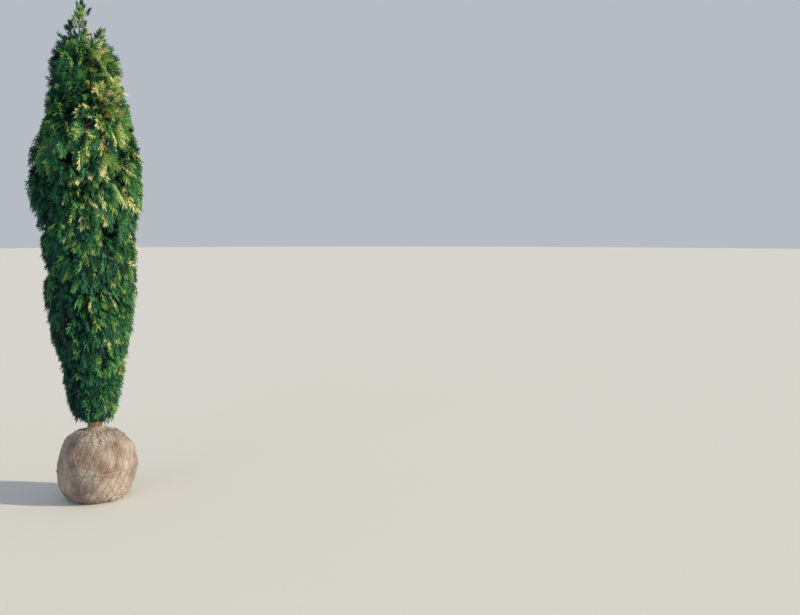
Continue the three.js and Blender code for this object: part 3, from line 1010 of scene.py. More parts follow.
@dataclass(frozen=True)
class TintRule:
    """Which tint a spray takes: painted shade deep inside and low down, fresh at the outline, and warmest on
    the sunny side, where painted sunlight adds to real sun-bleaching.
    """

    crown: Crown
    steps: tuple[float, ...] = (0.48, 0.92, 1.36, 1.80)
    # The scatter from plume to plume, from spray to spray, and how much more of that the sunny side has as
    # flecks of painted sunlight, and the heights where it has it
    plume_scatter: float = 0.14
    spray_scatter: float = 0.25
    sunny_scatter: float = 1.6
    sunny_heights: Pair = (1.15, 1.75)
    # Where the painted sunlight comes from, and how much it counts
    sun: Triple = (0.92, -0.28, 0.42)
    sun_weight: float = 0.48
    # The shares of the crown's reach between which a spray comes out of the painted shade of the inside, and
    # how its plume's counts
    depths: Pair = (0.50, 0.98)
    depth_weight: float = 0.85
    usual_limit: float = 0.9
    limit_weight: float = 2.0
    # The painted light that is added low down and high up, painted shade where it is below nought, and the
    # heights between which it changes
    light_by_height: Pair = (-0.36, 0.12)
    light_heights: Pair = (1.0, 2.1)
    # The shares of the sprays whose ends are one tint lighter, and two
    lighter_tips: Pair = (0.62, 0.22)
    # A patch of dry sprays: its middle, its size, and the odds outside it and in it
    rust_place: Triple = (0.16, -0.14, 2.12)
    rust_spread: Triple = (0.09, 0.12, 0.13)
    rust_odds: Pair = (0.0006, 0.10)

    def tints(
        self, base: np.ndarray, tip: np.ndarray, limit: float, numbers: np.random.Generator
    ) -> np.ndarray:
        """Deal a tint to each spray.

        Args:
            base: Where the sprays start.
            tip: Where they end.
            limit: The share of the crown's reach that their plume takes up.
            numbers: The seeded draws.

        Returns:
            The number of each spray's tint, in the order of Tint.
        """
        radius = np.hypot(tip[:, 0], tip[:, 1])
        outer = radius / self.crown.reach(tip[:, 2], np.arctan2(tip[:, 1], tip[:, 0]))
        sunny = unit(tip * LEVEL) @ unit(np.array(self.sun))
        depth = smooth_step(*self.depths, outer) + self.limit_weight * (limit - self.usual_limit)
        height = mix(*self.light_by_height, smooth_step(*self.light_heights, base[:, 2]))
        lit = np.maximum(sunny, 0) * smooth_step(*self.sunny_heights, base[:, 2])
        contrast = self.spray_scatter * (1 + self.sunny_scatter * lit)
        scatter = self.plume_scatter * numbers.normal() + contrast * numbers.normal(size=len(outer))
        # Painted shade darkens sprays inside and low down, and painted sunlight lightens those on the sunny
        # side
        score = self.depth_weight * depth + self.sun_weight * sunny + height + scatter
        off = (tip - np.array(self.rust_place)) / np.array(self.rust_spread)
        outside, inside = self.rust_odds
        rusty = numbers.random(len(outer)) < outside + inside * np.exp(-np.sum(off * off, axis=1))
        return np.where(rusty, list(Tint).index(Tint.RUST), np.digitize(score, self.steps))

    def tip_tints(self, tint: np.ndarray, numbers: np.random.Generator) -> np.ndarray:
        """Make the ends of most green sprays one tint lighter, as new growth is, and those of a few two.

        Args:
            tint: The number of each spray's tint.
            numbers: The seeded draws.

        Returns:
            The number of the tint of each spray's ends.
        """
        bright = list(Tint).index(Tint.BRIGHT)
        drawn = numbers.random(len(tint))
        one, two = self.lighter_tips
        lighter = (drawn < one).astype(int) + (drawn < two)
        return np.where(tint <= bright, np.minimum(tint + lighter, bright + 1), tint)


@dataclass(frozen=True)
class SprayRule:
    """How twigs and sprays grow on from the plumes."""

    crown: Crown
    tint_rule: TintRule
    # The plume's own twig: its arch, how deep under the outline it stays, its steps and its thickness
    arch: float = 0.16
    axis_depth: float = 0.11
    twig_end: float = 0.96
    twig_steps: int = 7
    twig_radii: Pair = (0.0030, 0.0012)
    widest_twig: float = 1.2
    # The side twigs: the first one's place, and their length, thickness and direction
    first_twig: float = 0.04
    side_twig: Pair = (0.036, 0.010)
    side_scatter: Pair = (0.6, 1.25)
    side_radii: Pair = (0.0013, 0.0008)
    side_flatness: float = 0.7
    side_sweep: float = 0.7
    # The sprays: how far they point ahead, aside and down, in the crown and at its top
    ahead: float = 0.9
    aside: float = 0.95
    aside_taper: float = 0.62
    top_heights: Pair = (1.75, 2.35)
    sink: Pair = (0.55, -0.45)
    sink_when_rising: float = 0.9
    sink_scatter: Pair = (0.5, 1.3)
    direction_scatter: float = 0.22
    # How they face, how long they are and how they bend
    edge_turn: float = 0.9
    face_up: float = 0.25
    face_scatter: float = 0.45
    length: Pair = (0.112, 0.078)
    length_scatter: Pair = (0.8, 1.2)
    bend: Pair = (0.30, 0.02)
    bend_scatter: Pair = (0.4, 1.4)
    # The room that they keep to the crown's bottom and top, and its ragged hem
    end_room: Pair = (0.020, 0.004)
    hem: float = 0.022

    def arched(self, plume: Plume, at: np.ndarray) -> np.ndarray:
        """Give points of a plume's arched line, drawn in from the crown's outline.

        Args:
            plume: The plume.
            at: Their shares of the way from its root to its tip.

        Returns:
            The points.
        """
        chord = plume.tip - plume.root
        arch = self.arch * np.linalg.norm(chord)
        line = plume.root + chord * at[:, None] + UP * (arch * 4 * at * (1 - at))[:, None]
        return line - self.excess(line, plume.limit - self.axis_depth)

    def grow(self, plume: Plume, numbers: np.random.Generator, fans: Fans, twigs: JoinedMesh) -> None:
        """Grow the side twigs and sprays of one plume.

        Args:
            plume: The plume.
            numbers: The seeded draws.
            fans: Takes the sprays.
            twigs: Takes the twigs.
        """
        count = plume.count
        chord = plume.tip - plume.root
        arch = self.arch * np.linalg.norm(chord)
        share = mix(self.first_twig, 1.0, (np.arange(count) + 0.5) / count)
        axis = self.arched(plume, share)
        line = self.arched(plume, np.linspace(0, self.twig_end, self.twig_steps))
        radii = np.linspace(*self.twig_radii, self.twig_steps) * min(plume.scale, self.widest_twig)
        twigs.add(line[None], radii[None], sides=4)
        direction = unit(chord + UP * (arch * 4 * (1 - 2 * share))[:, None])
        sideways = unit(np.cross(direction, UP) + NUDGE)
        upward = np.cross(sideways, direction)
        turn = FULL_TURN * (GOLDEN_SHARE * np.arange(count) + numbers.random())
        lateral = sideways * np.cos(turn)[:, None] + upward * (self.side_flatness * np.sin(turn))[:, None]
        offset = mix(*self.side_twig, share) * numbers.uniform(*self.side_scatter, count) * plume.scale
        base = axis + unit(lateral + self.side_sweep * direction) * offset[:, None]
        top = smooth_step(*self.top_heights, base[:, 2])
        rising = np.maximum(direction[:, 2], 0) * (1 - top)
        sink = mix(*self.sink, top) + self.sink_when_rising * rising
        sink = sink * numbers.uniform(*self.sink_scatter, count)
        flare = (1 - self.aside_taper * share)[:, None]
        along = unit(
            direction * self.ahead + lateral * flare * self.aside - UP * sink[:, None]
            + self.direction_scatter * numbers.normal(size=(count, 3))
        )
        outward = unit(base * LEVEL)
        turned = self.edge_turn * numbers.normal(size=(count, 1))
        facing = unit(
            outward * np.cos(turned) + np.cross(outward, UP) * np.sin(turned) + UP * self.face_up
            + self.face_scatter * numbers.normal(size=(count, 3))
        )
        size = mix(*self.length, share) * numbers.uniform(*self.length_scatter, count) * plume.scale
        base = self.kept_inside(base, base + along * size[:, None], plume.limit)
        tint = self.tint_rule.tints(base, base + along * size[:, None], plume.limit, numbers)
        twigs.add(np.stack([axis, base], axis=1), np.tile(self.side_radii, (count, 1)), sides=3)
        fans.add(
            base=base, along=along, facing=facing, length=size,
            bend=mix(*self.bend, top) * numbers.uniform(*self.bend_scatter, count),
            tier=np.full(count, plume.tier), tint=tint, tip_tint=self.tint_rule.tip_tints(tint, numbers),
        )

    def excess(self, points: np.ndarray, limit: float) -> np.ndarray:
        """Give how far points stand out of a share of the crown's reach, as vectors from the trunk's line.

        Args:
            points: The points.
            limit: The share of the crown's reach that they may take up.

        Returns:
            A level vector for each point, nought where it stands inside.
        """
        radius = np.maximum(np.hypot(points[:, 0], points[:, 1]), CLOSE)
        allowed = self.crown.reach(points[:, 2], np.arctan2(points[:, 1], points[:, 0])) * limit
        over = np.maximum(radius - allowed, 0) / radius
        return points * LEVEL * over[:, None]

    def kept_inside(self, base: np.ndarray, tip: np.ndarray, limit: float) -> np.ndarray:
        """Draw sprays in that would leave the crown.

        Args:
            base: Where the sprays start.
            tip: Where they end.
            limit: The share of the crown's reach that they may take up.

        Returns:
            Where they start once they are drawn in.
        """
        bearing = np.arctan2(tip[:, 1], tip[:, 0])
        ragged = self.hem * (1 + np.sin(9 * bearing) * np.sin(23 * bearing + 1))
        low_room, high_room = self.end_room
        low = np.minimum(base[:, 2], tip[:, 2]) - low_room
        high = np.maximum(base[:, 2], tip[:, 2]) + high_room
        rise = np.maximum(self.crown.bottom + ragged - low, 0) - np.maximum(high - self.crown.top, 0)
        return base - self.excess(tip, limit) + UP * rise[:, None]


@dataclass(frozen=True)
class LeaderRule:
    """How the loose shoots of the top stand, and how their side shoots grow."""

    # The shoots: the radius and the height of their seats, how far they lean out, the heights of their tips,
    # the bearing of the first, and how far a stem ends under its tip
    seat: Pair = (0.058, 2.356)
    lean: float = 0.026
    tops: tuple[float, ...] = (2.600, 2.650, 2.560)
    turn: float = 2.75
    wisp: float = 0.066
    # Where the shoot at the trunk's own tip starts
    tip_foot: float = 2.310
    # Their stems, at both ends
    stem_radii: Pair = (0.0026, 0.0016)
    stem_steps: int = 6
    # How many side shoots each has, how far they turn aside, and how they are spread along the stem
    side_shoots: int = 12
    side_turn: float = 1.0
    side_shoots_at_tip: int = 16
    scatter: Pair = (0.2, 0.8)
    bunching: float = 1.5
    highest: float = 0.97
    # How far a side shoot reaches, where it gets loose, and how it falls and rises
    reach: Pair = (0.50, 0.80)
    loose_from: Pair = (0.20, 0.50)
    loose_reach: float = 0.034
    fall: float = 0.7
    rise: float = 1.04
    top_room: float = 0.03
    # The size and the count of its sprays at its foot and where it is loose
    scales: Pair = (0.90, 0.34)
    spray_counts: Pair = (12, 6)
    limit: float = 0.95
    # The wisp at the end of the stem
    wisp_from: float = 0.8
    wisp_room: float = 0.042
    wisp_sprays: int = 12


@dataclass(frozen=True)
class ShootRule:
    """How the short shoots up the trunk grow, which fill the crown's inside with broad sprays in painted
    shade.
    """

    count: int = 120
    spray_count: int = 7
    scale: float = 1.45
    lowest: float = 0.05
    reach: float = 0.60
    rise: float = 0.03
    spray_room: float = 0.08


@dataclass
class Foliage:
    """All the masses of foliage and the limbs that carry them."""

    crown: Crown
    stem: Stem
    plume_rule: PlumeRule
    spray_rule: SprayRule
    leader: LeaderRule = LeaderRule()
    shoots: ShootRule = ShootRule()
    seed: int = 78
    # A bough: its rise, its seat, its bend, its thickness and its ridges
    bough_rise: float = 0.150
    stem_drop: float = 0.066
    seat_inset: float = 0.004
    bend_share: float = 0.62
    root_share: float = 0.42
    tip_share: float = 0.6
    least_radius: float = 0.0024
    ridge: float = 0.09
    bough_sides: int = 12
    bough_steps: int = 20
    # A mass: its stem's end, the twigs that carry its plumes, their sprays and their shares of the reach
    stem_radius: float = 0.0044
    knee_rise: float = 0.012
    carrier_radii: Triple = (0.0040, 0.0036, 0.0032)
    plume_sprays: int = 24
    limits: Pair = (0.79, 1.0)
    # The seed and the spread of each shape of spray
    fan_shapes: tuple[Pair, ...] = ((11, 0.92), (23, 0.92), (37, 0.62), (51, 0.92), (67, 0.62))
    fans: Fans = field(default_factory=Fans)
    twigs: JoinedMesh = field(default_factory=JoinedMesh)
    boughs: JoinedMesh = field(default_factory=JoinedMesh)
    bough_names: list[str] = field(default_factory=list)
    numbers: np.random.Generator = field(init=False)

    def __post_init__(self) -> None:
        """Start the seeded draws."""
        self.numbers = np.random.default_rng(self.seed)

    def grow_plume(self, plume: Plume) -> None:
        """Grow the twigs and sprays of one plume."""
        self.spray_rule.grow(plume, self.numbers, self.fans, self.twigs)

    def grow_bough(self, name: str, target: np.ndarray, seat: np.ndarray, tip_radius: float) -> None:
        """Grow one tapering bough from the trunk to the seat of a mass.

        Args:
            name: The solid that it stands for.
            target: Where the bough points.
            seat: Where it ends.
            tip_radius: Its radius there.
        """
        heading = unit(target - seat)
        root_height = seat[2] - self.bough_rise
        root = self.stem.centre(root_height)
        bend = seat - heading * self.bend_share * math.hypot(seat[0], seat[1])
        share = np.linspace(0, 1, self.bough_steps)[:, None]
        path = (1 - share) ** 2 * root + 2 * share * (1 - share) * bend + share**2 * seat
        root_radius = max(self.root_share * float(self.stem.radius(root_height)), tip_radius)
        side = np.arange(self.bough_sides)
        ridges = 1 + self.ridge * np.sin(side * 2.4 + 9 * share) * np.sin(31 * share + 3 * side)
        self.boughs.add(path[None], (mix(root_radius, tip_radius, share) * ridges)[None], self.bough_sides)
        self.bough_names.append(name)

    def grow_masses(self) -> None:
        """Grow the tiers of foliage, each mass from its own bough."""
        for mass in lay_out_masses(self.crown):
            seat_radius = (self.crown.core_place - self.crown.core_depth) * mass.reach + self.seat_inset
            seat = polar(seat_radius, mass.bearing, mass.centre[2] - self.stem_drop)
            trunk_radius = float(self.stem.radius(seat[2]))
            tip_radius = max(self.tip_share * self.root_share * trunk_radius, self.least_radius)
            self.grow_bough(f"bough_{mass.name}", mass.centre, seat, tip_radius)
            stem = np.stack([seat, mix(seat, mass.centre, 0.5), mass.centre])
            self.twigs.add(stem[None], np.linspace(tip_radius, self.stem_radius, 3)[None], sides=6)
            for slot in range(self.plume_rule.count):
                root, tip = self.plume_rule.line(mass, slot)
                knee = (mass.centre + root) / 2 + UP * self.knee_rise
                carrier = np.stack([mass.centre, knee, root])
                self.twigs.add(carrier[None], np.array([self.carrier_radii]), sides=4)
                limit = mix(*self.limits, self.numbers.random())
                self.grow_plume(Plume(root, tip, mass.tier, self.plume_sprays, 1.0, limit))

    def grow_trunk_shoots(self) -> None:
        """Grow the short shoots all the way up the trunk."""
        rule = self.shoots
        for n in range(rule.count):
            share = (n + 0.5) / rule.count
            root = self.stem.centre(mix(self.crown.bottom + rule.lowest, self.leader.tip_foot, share))
            bearing = FULL_TURN * n * GOLDEN_SHARE
            radius = rule.reach * float(self.crown.reach(root[2], bearing))
            tip = polar(radius, bearing, root[2] + rule.rise)
            tier = min(int(share * self.crown.tiers), self.crown.tiers - 1)
            limit = rule.reach + rule.spray_room
            self.grow_plume(Plume(root, tip, tier, rule.spray_count, rule.scale, limit))

    def grow_leader(
        self, foot: np.ndarray, stem_top: np.ndarray, top: float, side_turn: float, side_shoots: int
    ) -> None:
        """Grow one loose shoot of the top.

        Args:
            foot: Where its stem starts.
            stem_top: Where its stem ends.
            top: The height of its highest tip.
            side_turn: How far its side shoots turn from its own bearing, either way.
            side_shoots: How many side shoots it has.
        """
        rule = self.leader
        tier = self.crown.tiers
        stem = mix(foot, stem_top, np.linspace(0, 1, rule.stem_steps)[:, None])
        self.twigs.add(stem[None], np.linspace(*rule.stem_radii, rule.stem_steps)[None], sides=5)
        own = math.atan2(foot[1], foot[0])
        for n in range(side_shoots):
            share = ((n + mix(*rule.scatter, self.numbers.random())) / side_shoots) ** rule.bunching
            root = mix(foot, stem_top, rule.highest * share)
            bearing = own + side_turn * (2 * ((0.5 + n * GOLDEN_SHARE) % 1) - 1)
            reach = float(self.crown.reach(root[2], bearing)) * mix(*rule.reach, self.numbers.random())
            loose = float(smooth_step(*rule.loose_from, share))
            loose_tip = root + polar(rule.loose_reach, bearing, 0.0)
            tip = mix(polar(reach, bearing, root[2]), loose_tip, loose)
            lowest = root[2] - rule.fall * np.linalg.norm(tip - root)
            tip[2] = mix(lowest, top - rule.top_room, min(rule.rise * share, 1) ** 2)
            count = round(mix(*rule.spray_counts, loose))
            self.grow_plume(Plume(root, tip, tier, count, mix(*rule.scales, loose), rule.limit))
        wisp_foot = mix(foot, stem_top, rule.wisp_from)
        wisp_tip = stem_top + UP * (top - stem_top[2] - rule.wisp_room)
        self.grow_plume(Plume(wisp_foot, wisp_tip, tier, rule.wisp_sprays, rule.scales[1], 1.0))

    def grow_leaders(self) -> None:
        """Grow the loose shoots of the top and the tip of the trunk."""
        rule = self.leader
        seat_radius, seat_height = rule.seat
        for n, top in enumerate(rule.tops):
            bearing = rule.turn + FULL_TURN * n / len(rule.tops)
            seat = polar(seat_radius, bearing, seat_height)
            stem_top = polar(seat_radius + rule.lean, bearing, top - rule.wisp)
            self.grow_bough(f"leader_bough_{'abc'[n]}", stem_top, seat, self.least_radius)
            self.grow_leader(seat, stem_top, top, rule.side_turn, rule.side_shoots)
        foot = self.stem.centre(rule.tip_foot)
        tip_top = np.array([foot[0], foot[1], self.crown.top - rule.wisp])
        self.grow_leader(foot, tip_top, self.crown.top, math.pi, rule.side_shoots_at_tip)

    def node_names(self, tiers: Iterable[int]) -> list[str]:
        """Name the solid masses of some tiers, with the leaders as the last tier.

        Args:
            tiers: The tiers' numbers, from nought.

        Returns:
            The names.
        """
        names = []
        for tier in tiers:
            if tier < self.crown.tiers:
                names += [f"foliage_{tier + 1}{letter}" for letter in "abcd"[: self.crown.sectors]]
            else:
                names += [f"foliage_leader_{letter}" for letter in ("a", "b", "c", "tip")]
        return names

    def build_sprays(self) -> None:
        """Join the sprays into pieces by height and tint, and dress them."""
        shapes = [FanShape(seed, spread).arrays() for seed, spread in self.fan_shapes]
        sides = {"body": "tint", "ends": "tip_tint"}
        heights = {"low": (0, 1), "middle": (2, 3), "high": (4, 5)}
        columns = {name: self.fans.joined(name) for name in vars(self.fans)}
        kinds = np.arange(len(columns["length"])) % len(shapes)
        for number, tint in enumerate(Tint):
            material = LeafFinish(tint).material()
            for level, tiers in heights.items():
                in_height = np.isin(columns["tier"], tiers)
                collected = JoinedMesh()
                for part, column in sides.items():
                    chosen = in_height & (columns[column] == number)
                    for kind, shape in enumerate(shapes):
                        rows = np.flatnonzero(chosen & (kinds == kind))
                        collected.add_arrays(*self.placed(columns, rows, *shape[part]))
                piece = collected.piece(f"sprays_{tint.name.lower()}_{level}")
                dress(piece, material, self.node_names(tiers))

    @staticmethod
    def placed(
        columns: dict[str, np.ndarray], rows: np.ndarray, corners: np.ndarray, triangles: np.ndarray
    ) -> Arrays:
        """Place one shape of spray at each of the chosen rows.

        Args:
            columns: The sprays' fields.
            rows: The chosen sprays.
            corners: The shape's corners.
            triangles: The shape's triangles.

        Returns:
            The corners and the triangles of all the placed sprays.
        """
        along = columns["along"][rows]
        across = unit(np.cross(along, columns["facing"][rows]))
        normal = np.cross(across, along)
        length = columns["length"][rows][:, None, None]
        x, y, z = (corners[None, :, axis, None] for axis in range(3))
        local = x * across[:, None] + y * along[:, None] + z * normal[:, None]
        placed = columns["base"][rows][:, None] + local * length
        placed -= UP * (columns["bend"][rows][:, None, None] * length * y**2)
        numbered = triangles[None] + len(corners) * np.arange(len(rows))[:, None, None]
        return placed.reshape(-1, 3), numbered.reshape(-1, 3)

    def build(self, bark: bpy.types.Material) -> None:
        """Grow the foliage and build its boughs, twigs and sprays.

        Args:
            bark: The finish of limbs and twigs.
        """
        self.grow_masses()
        self.grow_trunk_shoots()
        self.grow_leaders()
        dress(self.boughs.piece("boughs"), bark, self.bough_names)
        dress(self.twigs.piece("twigs"), bark, ())
        self.build_sprays()


@dataclass(frozen=True)
class Trunk:
    """The trunk with its flare and the relief of its bark."""

    stem: Stem
    sides: int = 36
    stations: int = 44
    # Over one, the stations lie closer at the foot
    spacing: float = 1.5
    relief: float = 0.0016

    def build(self, bark: bpy.types.Material) -> None:
        """Extrude the trunk ring by ring, smooth it and raise the strips of its bark.

        Args:
            bark: The trunk's finish.
        """
        stem = self.stem
        deselect_all()
        heights = stem.foot + (stem.tip - stem.foot) * np.linspace(0, 1, self.stations) ** self.spacing
        start = stem.centre(heights[0])
        bpy.ops.mesh.primitive_circle_add(vertices=self.sides, radius=stem.base_radius, location=start)
        trunk = bpy.context.object
        trunk.name = "trunk_bark"
        bpy.ops.object.mode_set(mode="EDIT")
        bpy.ops.mesh.select_all(action="SELECT")
        for lower, upper in zip(heights[:-1], heights[1:]):
            shift = stem.centre(upper) - stem.centre(lower)
            bpy.ops.mesh.extrude_region_move(TRANSFORM_OT_translate={"value": tuple(shift)})
            thinner = float(stem.radius(upper) / stem.radius(lower))
            bpy.ops.transform.resize(
                value=(thinner, thinner, 1.0), center_override=tuple(stem.centre(upper))
            )
        bpy.ops.mesh.edge_face_add()
        bpy.ops.mesh.select_all(action="DESELECT")
        bpy.ops.object.mode_set(mode="OBJECT")
        settle_in_place(trunk)
        apply_modifier(trunk, "SUBSURF", subdivision_type="SIMPLE", levels=2, render_levels=2)
        move_corners(trunk, self.with_relief(corners_of(trunk)))
        bpy.ops.object.mode_set(mode="EDIT")
        bpy.ops.mesh.select_all(action="SELECT")
        bpy.ops.mesh.normals_make_consistent(inside=False)
        bpy.ops.object.mode_set(mode="OBJECT")
        bpy.ops.object.shade_smooth_by_angle(angle=math.radians(50))
        dress(trunk, bark, ["trunk"])

    def with_relief(self, corners: np.ndarray) -> np.ndarray:
        """Move the trunk's corners to its flared section with raised strips.

        Args:
            corners: The corners of the plain trunk.

        Returns:
            The corners with flare and relief.
        """
        height = corners[:, 2]
        centre = self.stem.centre(height)
        around = corners - centre
        bearing = np.arctan2(around[:, 1], around[:, 0])
        inner = np.hypot(around[:, 0], around[:, 1]) / self.stem.radius(height)
        wander = 0.8 * np.sin(height * 9) + 0.5 * np.sin(height * 23 + 1)
        strips = np.sin(11 * bearing + 3 * wander) + 0.6 * np.sin(23 * bearing - 5 * wander + height * 40)
        knots = 0.7 * np.sin(5 * bearing + height * 31) * np.sin(height * 57)
        fine = self.relief * (0.3 + self.stem.radius(height) / self.stem.base_radius) * 0.6
        raised = self.stem.flared(height, bearing) + fine * (strips + knots - 0.6) * 0.6
        radius = raised * np.minimum(inner, 1)
        return centre + polar(radius, bearing, 0 * height)


@dataclass(frozen=True)
class RootBall:
    """The ball of soil in its sacking, as in the source, with the folds of the cloth."""

    # Its height, the height of its widest place, and its radii there, at its foot and at its crown
    height: float = 0.380
    belly: float = 0.175
    radius: float = 0.210
    foot_radius: float = 0.125
    crown_radius: float = 0.062
    # How far its lumps, its pleats and its crumples stand out: the first as a share of the radius
    lump: float = 0.028
    pleat: float = 0.0052
    crumple: float = 0.0030
    segments: int = 224
    rings: int = 140

    def surface(self, tilt: np.ndarray, bearing: np.ndarray, lift: float = 0.0) -> np.ndarray:
        """Give points on the sacking.

        Args:
            tilt: The angle up from the belly, from -90 degrees at the foot to 90 at the crown.
            bearing: The bearing round the trunk.
            lift: How far the points stand off the cloth.

        Returns:
            The points.
        """
        lower = tilt < 0
        inner = np.where(lower, self.foot_radius, self.crown_radius)
        rise = np.where(lower, self.belly, self.height - self.belly)
        lumps = np.sin(3 * bearing + 1.2 * tilt) + 0.8 * np.sin(5 * bearing - 2.3 * tilt + 1)
        even = inner + (self.radius - inner) * np.cos(tilt)
        radius = even * (1 + self.lump * lumps * np.cos(tilt) ** 2)
        height = self.belly + rise * np.sin(tilt)
        outward = rise * np.cos(tilt)
        upward = (self.radius - inner) * np.sin(tilt)
        scale = np.maximum(np.hypot(outward, upward), CLOSE)
        off = lift + self.folds(tilt, bearing)
        points = polar(radius + off * outward / scale, bearing, height + off * upward / scale)
        points[..., 2] = np.maximum(points[..., 2], 0.0)
        return points

    def folds(self, tilt: np.ndarray, bearing: np.ndarray) -> np.ndarray:
        """Give the height of the cloth's folds: pleats that run to the collar, and crumples elsewhere.

        Args:
            tilt: The angle up from the belly.
            bearing: The bearing round the trunk.

        Returns:
            How far the cloth stands off the smooth ball.
        """
        upper = smooth_step(-0.2, 1.3, tilt)
        free = smooth_step(-1.45, -1.1, tilt) * (1 - smooth_step(1.35, 1.55, tilt))
        sway = 1.6 * np.sin(2 * bearing + 0.5) + 0.9 * np.sin(3 * bearing + 2 * tilt)
        pleats = np.abs(np.sin(13 * bearing + 1.4 * sway + 0.5 * np.sin(4 * tilt))) ** 0.7
        crumples = (
            np.sin(7 * bearing + 5 * tilt + sway) * np.sin(6 * tilt - 3 * bearing)
            + 0.6 * np.sin(17 * bearing - 9 * tilt + 2 * sway) * np.sin(13 * tilt + 4 * bearing)
            + 0.35 * np.sin(29 * bearing + 21 * tilt) * np.sin(27 * tilt - 11 * bearing + sway)
        )
        return free * (self.pleat * upper * (pleats - 0.7) + self.crumple * (crumples - 0.5))

    def build(self, sacking: bpy.types.Material) -> None:
        """Shape a ball into the lumpy sack, flat where it stands.

        Args:
            sacking: The finish of the cloth.
        """
        deselect_all()
        bpy.ops.mesh.primitive_uv_sphere_add(
            segments=self.segments, ring_count=self.rings, radius=self.radius, location=(0, 0, self.belly)
        )
        ball = bpy.context.object
        ball.name = "ball_sacking_cloth"
        settle_in_place(ball)
        corners = corners_of(ball)
        above = np.clip((corners[:, 2] - self.belly) / self.radius, -1, 1)
        tilt = np.arcsin(above)
        bearing = np.arctan2(corners[:, 1], corners[:, 0])
        placed = self.surface(tilt, bearing)
        pole = np.abs(above) > 1 - CLOSE
        placed[pole, :2] = 0
        move_corners(ball, placed)
        bpy.ops.object.shade_smooth()
        dress(ball, sacking, ["root_ball"])


@dataclass(frozen=True)
class BallNet:
    """The net of thin wire that holds the sacking: slanting wires both ways, three hoops and a drawn wire."""

    ball: RootBall
    # The slanting wires: their count, how far each turns on its way up, its thickness and its two ends
    wires: int = 26
    turn: float = 1.25
    slack: float = 0.012
    radius: float = 0.0009
    low: float = -1.30
    high: float = 1.24
    steps: int = 56
    # The hoops, by their angle up from the belly, and the wire that draws the net in at its upper end
    hoops: tuple[float, ...] = (-0.9425, 0.0, 0.9425)
    hoop_radius: float = 0.0016
    drawn_radius: float = 0.0012
    hoop_lift: float = 0.003
    hoop_steps: int = 161

    def build(self, wire: bpy.types.Material) -> None:
        """Lay the wires on the sacking.

        Args:
            wire: Their finish.
        """
        net = JoinedMesh()
        tilt = np.linspace(self.low, self.high, self.steps)[None]
        start = FULL_TURN * np.arange(self.wires)[:, None] / self.wires
        span = self.turn * (tilt - self.low) / (self.high - self.low)
        for side in (-1, 1):
            bearing = start + side * span + self.slack * np.sin(7 * tilt + 3 * start)
            lift = self.radius * (1.3 + 0.8 * side)
            paths = self.ball.surface(np.broadcast_to(tilt, bearing.shape), bearing, lift)
            net.add(paths, np.full(paths.shape[:2], self.radius), sides=5)
        around = np.linspace(0, FULL_TURN, self.hoop_steps)
        rings = [(hoop, self.hoop_radius) for hoop in self.hoops] + [(self.high, self.drawn_radius)]
        for height, radius in rings:
            paths = self.ball.surface(np.full(self.hoop_steps, height), around, self.hoop_lift)[None]
            net.add(paths, np.full(paths.shape[:2], radius), sides=6)
        names = [f"ball_wire_{place}" for place in ("low", "middle", "high")]
        dress(net.piece("ball_net"), wire, names)


